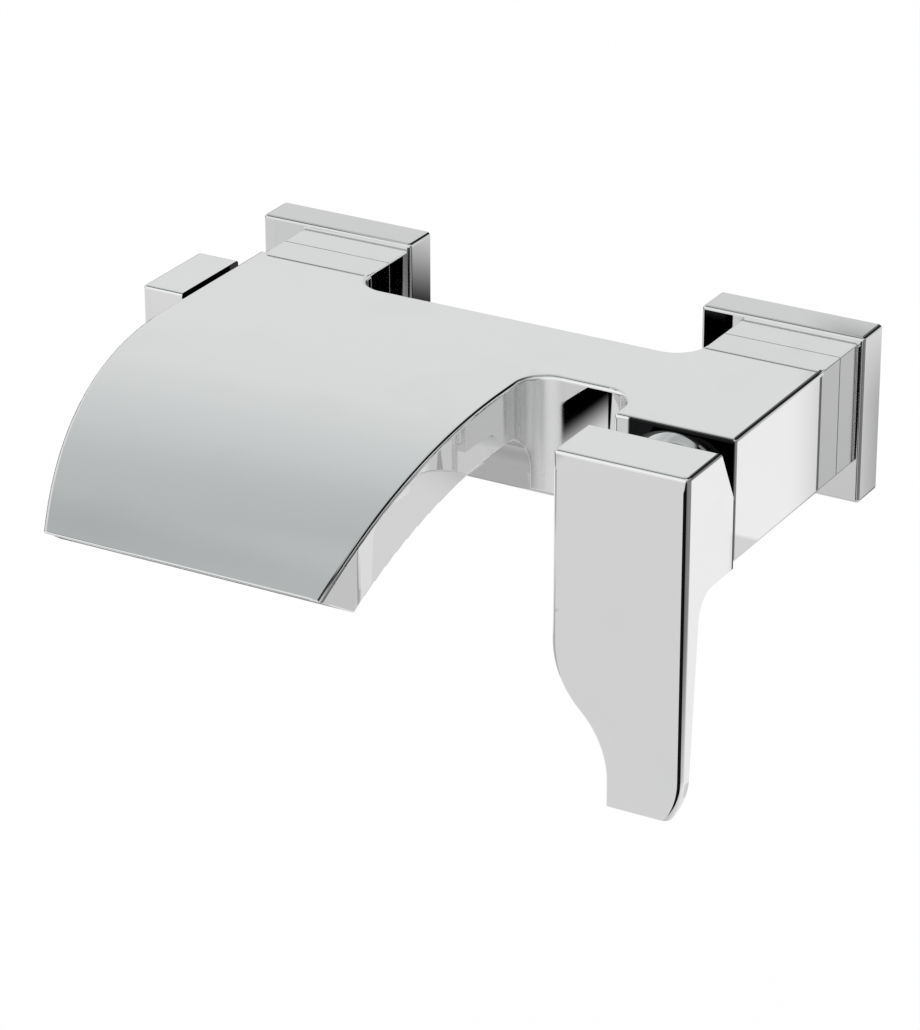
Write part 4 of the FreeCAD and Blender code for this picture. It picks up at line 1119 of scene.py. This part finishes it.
@dataclass(frozen=True)
class Camera:
    """Camera of the photograph."""

    place: Point = (0.576067, -1.076130, 0.506641)
    azimuth: float = 29.742
    elevation: float = 24.798
    roll: float = -0.101
    focal_pixels: float = 4400.0
    frame_height: float = 1030.0
    sensor: float = 36.0
    clip: Span = (0.05, 30.0)

    def build(self) -> None:
        """Make the camera and use it."""
        data = bpy.data.cameras.new("photo_camera")
        data.sensor_width = self.sensor
        data.lens = self.focal_pixels * self.sensor / self.frame_height
        data.clip_start, data.clip_end = self.clip
        camera = put("photo_camera", data)
        turn = Matrix.Rotation(math.radians(self.azimuth), 4, "Z")
        turn = turn @ Matrix.Rotation(math.radians(90.0 - self.elevation), 4, "X")
        turn = turn @ Matrix.Rotation(math.radians(self.roll), 4, "Z")
        camera.matrix_world = Matrix.Translation(self.place) @ turn
        bpy.context.scene.camera = camera


def plain_sheet(name: str, corners: Sequence[Point]) -> bpy.types.Object:
    """Make a flat sheet of the studio.

    Args:
        name: Name of the sheet.
        corners: Its corners in order.

    Returns:
        The sheet.
    """
    mesh = bpy.data.meshes.new(name)
    mesh.from_pydata(list(corners), [], [tuple(range(len(corners)))])
    sheet = put(name, mesh)
    return sheet


@dataclass(frozen=True)
class Flag:
    """A dark studio card, square to one axis, that shows only in mirrored metal."""

    name: str
    axis: Axis
    place: float
    first: Span
    second: Span
    soft: float
    dark: float

    def corners(self) -> list[Point]:
        """Corners of the card with room for its soft edge.

        Returns:
            The four corners in order.
        """
        (left, right), (low, high) = ((ends[0] - self.soft, ends[1] + self.soft)
                                      for ends in (self.first, self.second))
        spots = [[left, low], [right, low], [right, high], [left, high]]
        for spot in spots:
            spot.insert(self.axis.value, self.place)
        return [tuple(spot) for spot in spots]

    def build(self) -> None:
        """Hang the card."""
        card = plain_sheet(self.name, self.corners())
        card.visible_camera = card.visible_diffuse = card.visible_shadow = False
        card.visible_transmission = card.visible_volume_scatter = False
        material, bench = node_material(self.name)
        ways = list(bench.split(bench.coordinates()))
        del ways[self.axis.value]
        cover = ways[0].within(*self.first, self.soft) * ways[1].within(*self.second, self.soft)
        clear = bench.add("ShaderNodeBsdfTransparent")
        black = bench.add("ShaderNodeEmission", None, {"Color": rgba(BLACK), "Strength": 0.0})
        shown = bench.add("ShaderNodeMixShader", None, {0: cover * self.dark, 1: clear, 2: black})
        bench.add("ShaderNodeOutputMaterial", None, {"Surface": shown})
        card.data.materials.append(material)


def ramp_place(height: Any) -> Any:
    """Place on a ramp of a height between -1 and 1, a number or a wire."""
    return height * 0.5 + 0.5


@dataclass(frozen=True)
class Studio:
    """White studio: graded sky with one dark window, dark cards, pale floor and a soft lamp."""

    floor_height: float = -0.30
    floor_size: float = 14.0
    floor_tone: Colour = (0.9, 0.9, 0.9)
    floor_glow: float = 0.9
    lamp_power: float = 6.0
    lamp_size: float = 1.6
    lamp_place: Point = (-0.3, -0.5, 1.6)
    lamp_back: Point = (-0.3, -0.4, 1.6)
    window_turn: Span = (1.0, 72.0)
    window_rise: Span = (13.0, 72.0)
    window_bend: float = 33.0
    window_slope: float = 2.0
    window_lift: float = 22.0
    window_soft: float = 4.0
    window_dark: float = 0.98
    front_end: float = -0.38
    back_end: float = 0.14
    cool: Colour = (0.965, 1.0, 1.0)
    cool_start: float = 0.3
    cool_rise: float = 0.5
    back_sky: tuple[Span, ...] = (
        (-1.0, 0.72), (-0.42, 0.98), (0.0, 0.73), (0.3, 0.79), (0.375, 0.82), (0.54, 0.81),
        (0.64, 0.75), (0.72, 0.68), (0.78, 0.59), (0.83, 0.55), (0.866, 0.63), (0.93, 0.46),
        (1.0, 0.51))
    front_sky: tuple[Span, ...] = (
        (-1.0, 0.55), (-0.6, 0.77), (-0.42, 0.74), (-0.2, 0.98), (0.0, 0.74), (0.25, 1.15),
        (0.6, 0.98), (0.8, 0.76), (0.9, 0.86), (1.0, 1.15))
    flags: tuple[Flag, ...] = (
        Flag("back_card", Axis.DEPTH, 0.071, (-0.118, 0.131), (-0.083, -0.016), 0.019, 1.00),
        Flag("high_card", Axis.DEPTH, 0.119, (0.028, 0.102), (0.086, 0.180), 0.010, 0.82),
        Flag("edge_card", Axis.DEPTH, 0.100, (-0.550, -0.170), (-0.030, 0.035), 0.010, 0.90),
        Flag("left_card", Axis.ACROSS, -0.400, (-0.180, 0.100), (-0.010, 0.070), 0.012, 0.95),
        Flag("low_card", Axis.DEPTH, 0.141, (-0.045, 0.203), (-0.270, -0.124), 0.001, 0.23),
        Flag("near_card", Axis.DEPTH, -0.138, (0.096, 0.1458), (-0.125, 0.002), 0.0005, 0.99),
        Flag("over_card", Axis.HEIGHT, 0.351, (-0.318, 0.123), (-0.131, -0.106), 0.050, 0.29),
        Flag("top_card", Axis.HEIGHT, 0.596, (-0.262, 0.274), (-0.272, -0.084), 0.018, 0.90),
        Flag("knob_card", Axis.HEIGHT, 0.596, (-0.520, -0.400), (-0.360, -0.110), 0.004, 0.95),
        Flag("under_card", Axis.HEIGHT, -0.119, (-0.194, -0.094), (-0.405, -0.295), 0.008, 1.00),
        Flag("bridge_card", Axis.HEIGHT, -0.118, (-0.109, -0.031), (-0.270, -0.001), 0.001, 0.38),
        Flag("right_card", Axis.ACROSS, 0.263, (-0.311, 0.180), (-0.157, 0.142), 0.050, 0.74),
    )

    def build(self) -> None:
        """Make sky, cards, floor and lamp."""
        self._world()
        for flag in self.flags:
            flag.build()
        self._floor()
        self._lamp()

    def _graded(self, bench: Bench, height: Wire, steps: Sequence[Span]) -> Wire:
        """Sky that changes with the height of the way.

        Args:
            bench: Tree of the world.
            height: Upward part of the way.
            steps: Brightness at some heights.

        Returns:
            The sky's colour, a little cooler overhead.
        """
        stops = []
        for level, light in steps:
            tint = max(0.0, min(1.0, (level - self.cool_start) / self.cool_rise))
            colour = tuple(light * (1.0 + tint * (part - 1.0)) for part in self.cool)
            stops.append((ramp_place(level), colour))
        return bench.add("ShaderNodeValToRGB", {"stops": stops}, {"Fac": ramp_place(height)})

    def _window(self, across: Wire, along: Wire, height: Wire) -> Wire:
        """Dark window in the sky, whose low edge rises beyond one bearing.

        Args:
            across: Part of the way across the tap.
            along: Part of the way towards the wall.
            height: Upward part of the way.

        Returns:
            How dark the window makes the sky.
        """
        left, right = map(math.radians, self.window_turn)
        low, high = map(math.radians, self.window_rise)
        bend, lift, soft = map(math.radians, (self.window_bend, self.window_lift, self.window_soft))
        bearing, rise = across.bearing(along), height.slope()
        sill = ((bearing - bend) * self.window_slope).most(0.0).least(lift)
        window = bearing.within(left, right, soft) * rise.step(high + soft, high - soft)
        return window * (rise - sill).step(low - soft, low + soft) * self.window_dark

    def _world(self) -> None:
        """Sky that is white for the camera and graded for mirrored metal."""
        world = bpy.data.worlds.new("studio_sky")
        world.use_nodes = True
        bpy.context.scene.world = world
        bench = Bench(world.node_tree)
        across, along, height = bench.split(bench.add("ShaderNodeTexCoord", output="Generated"))
        front = self._graded(bench, height, self.front_sky)
        back = self._graded(bench, height, self.back_sky)
        sky = bench.blend(along.step(self.front_end, self.back_end), front, back)
        sky = bench.blend(self._window(across, along, height), sky, BLACK)
        mirrored = bench.add("ShaderNodeBackground", None, {"Color": sky, "Strength": 1.0})
        plain = bench.add("ShaderNodeBackground", None, {"Color": rgba(WHITE), "Strength": 1.0})
        glossy = bench.add("ShaderNodeLightPath", output="Is Glossy Ray")
        both = bench.add("ShaderNodeMixShader", None, {0: glossy, 1: plain, 2: mirrored})
        bench.add("ShaderNodeOutputWorld", None, {"Surface": both})

    def _floor(self) -> None:
        """Pale floor far below the tap that keeps its soft shadow."""
        half = self.floor_size / 2.0
        corners = [(-half, -half), (half, -half), (half, half), (-half, half)]
        floor = plain_sheet("pale_floor", [(x, y, self.floor_height) for x, y in corners])
        floor.visible_glossy = False
        material, bench = node_material("pale_floor")
        seen = bench.add("ShaderNodeLightPath", output="Is Camera Ray")
        matt = bench.add("ShaderNodeBsdfDiffuse", None, {"Color": rgba(self.floor_tone)})
        glow = bench.add("ShaderNodeEmission", None, {"Color": rgba(WHITE), "Strength": 1.0})
        share = seen * self.floor_glow
        shown = bench.add("ShaderNodeMixShader", None, {0: share, 1: matt, 2: glow})
        behind = bench.add("ShaderNodeNewGeometry", output="Backfacing")
        clear = bench.add("ShaderNodeBsdfTransparent")
        open_below = bench.add("ShaderNodeMixShader", None, {0: behind, 1: shown, 2: clear})
        bench.add("ShaderNodeOutputMaterial", None, {"Surface": open_below})
        floor.data.materials.append(material)

    def _lamp(self) -> None:
        """Large soft lamp from above."""
        data = bpy.data.lights.new("soft_lamp", "AREA")
        data.energy = self.lamp_power
        data.size = self.lamp_size
        lamp = put("soft_lamp", data)
        lamp.location = self.lamp_place
        lamp.rotation_euler = Vector(self.lamp_back).to_track_quat("Z", "Y").to_euler()
        lamp.visible_glossy = False


def main() -> None:
    """Build the studio and dress the tap."""
    logging.basicConfig(level=logging.INFO, format="%(name)s: %(message)s")
    bpy.context.scene.view_settings.view_transform = "Standard"
    Camera().build()
    Studio().build()
    for assembly in (WallConnection(side=Side.LEFT), WallConnection(side=Side.RIGHT),
                     SpoutCasting(), MixingValve(), Lever(), Diverter(), ShowerOutlet()):
        assembly.build()


if __name__ == "__main__":
    main()
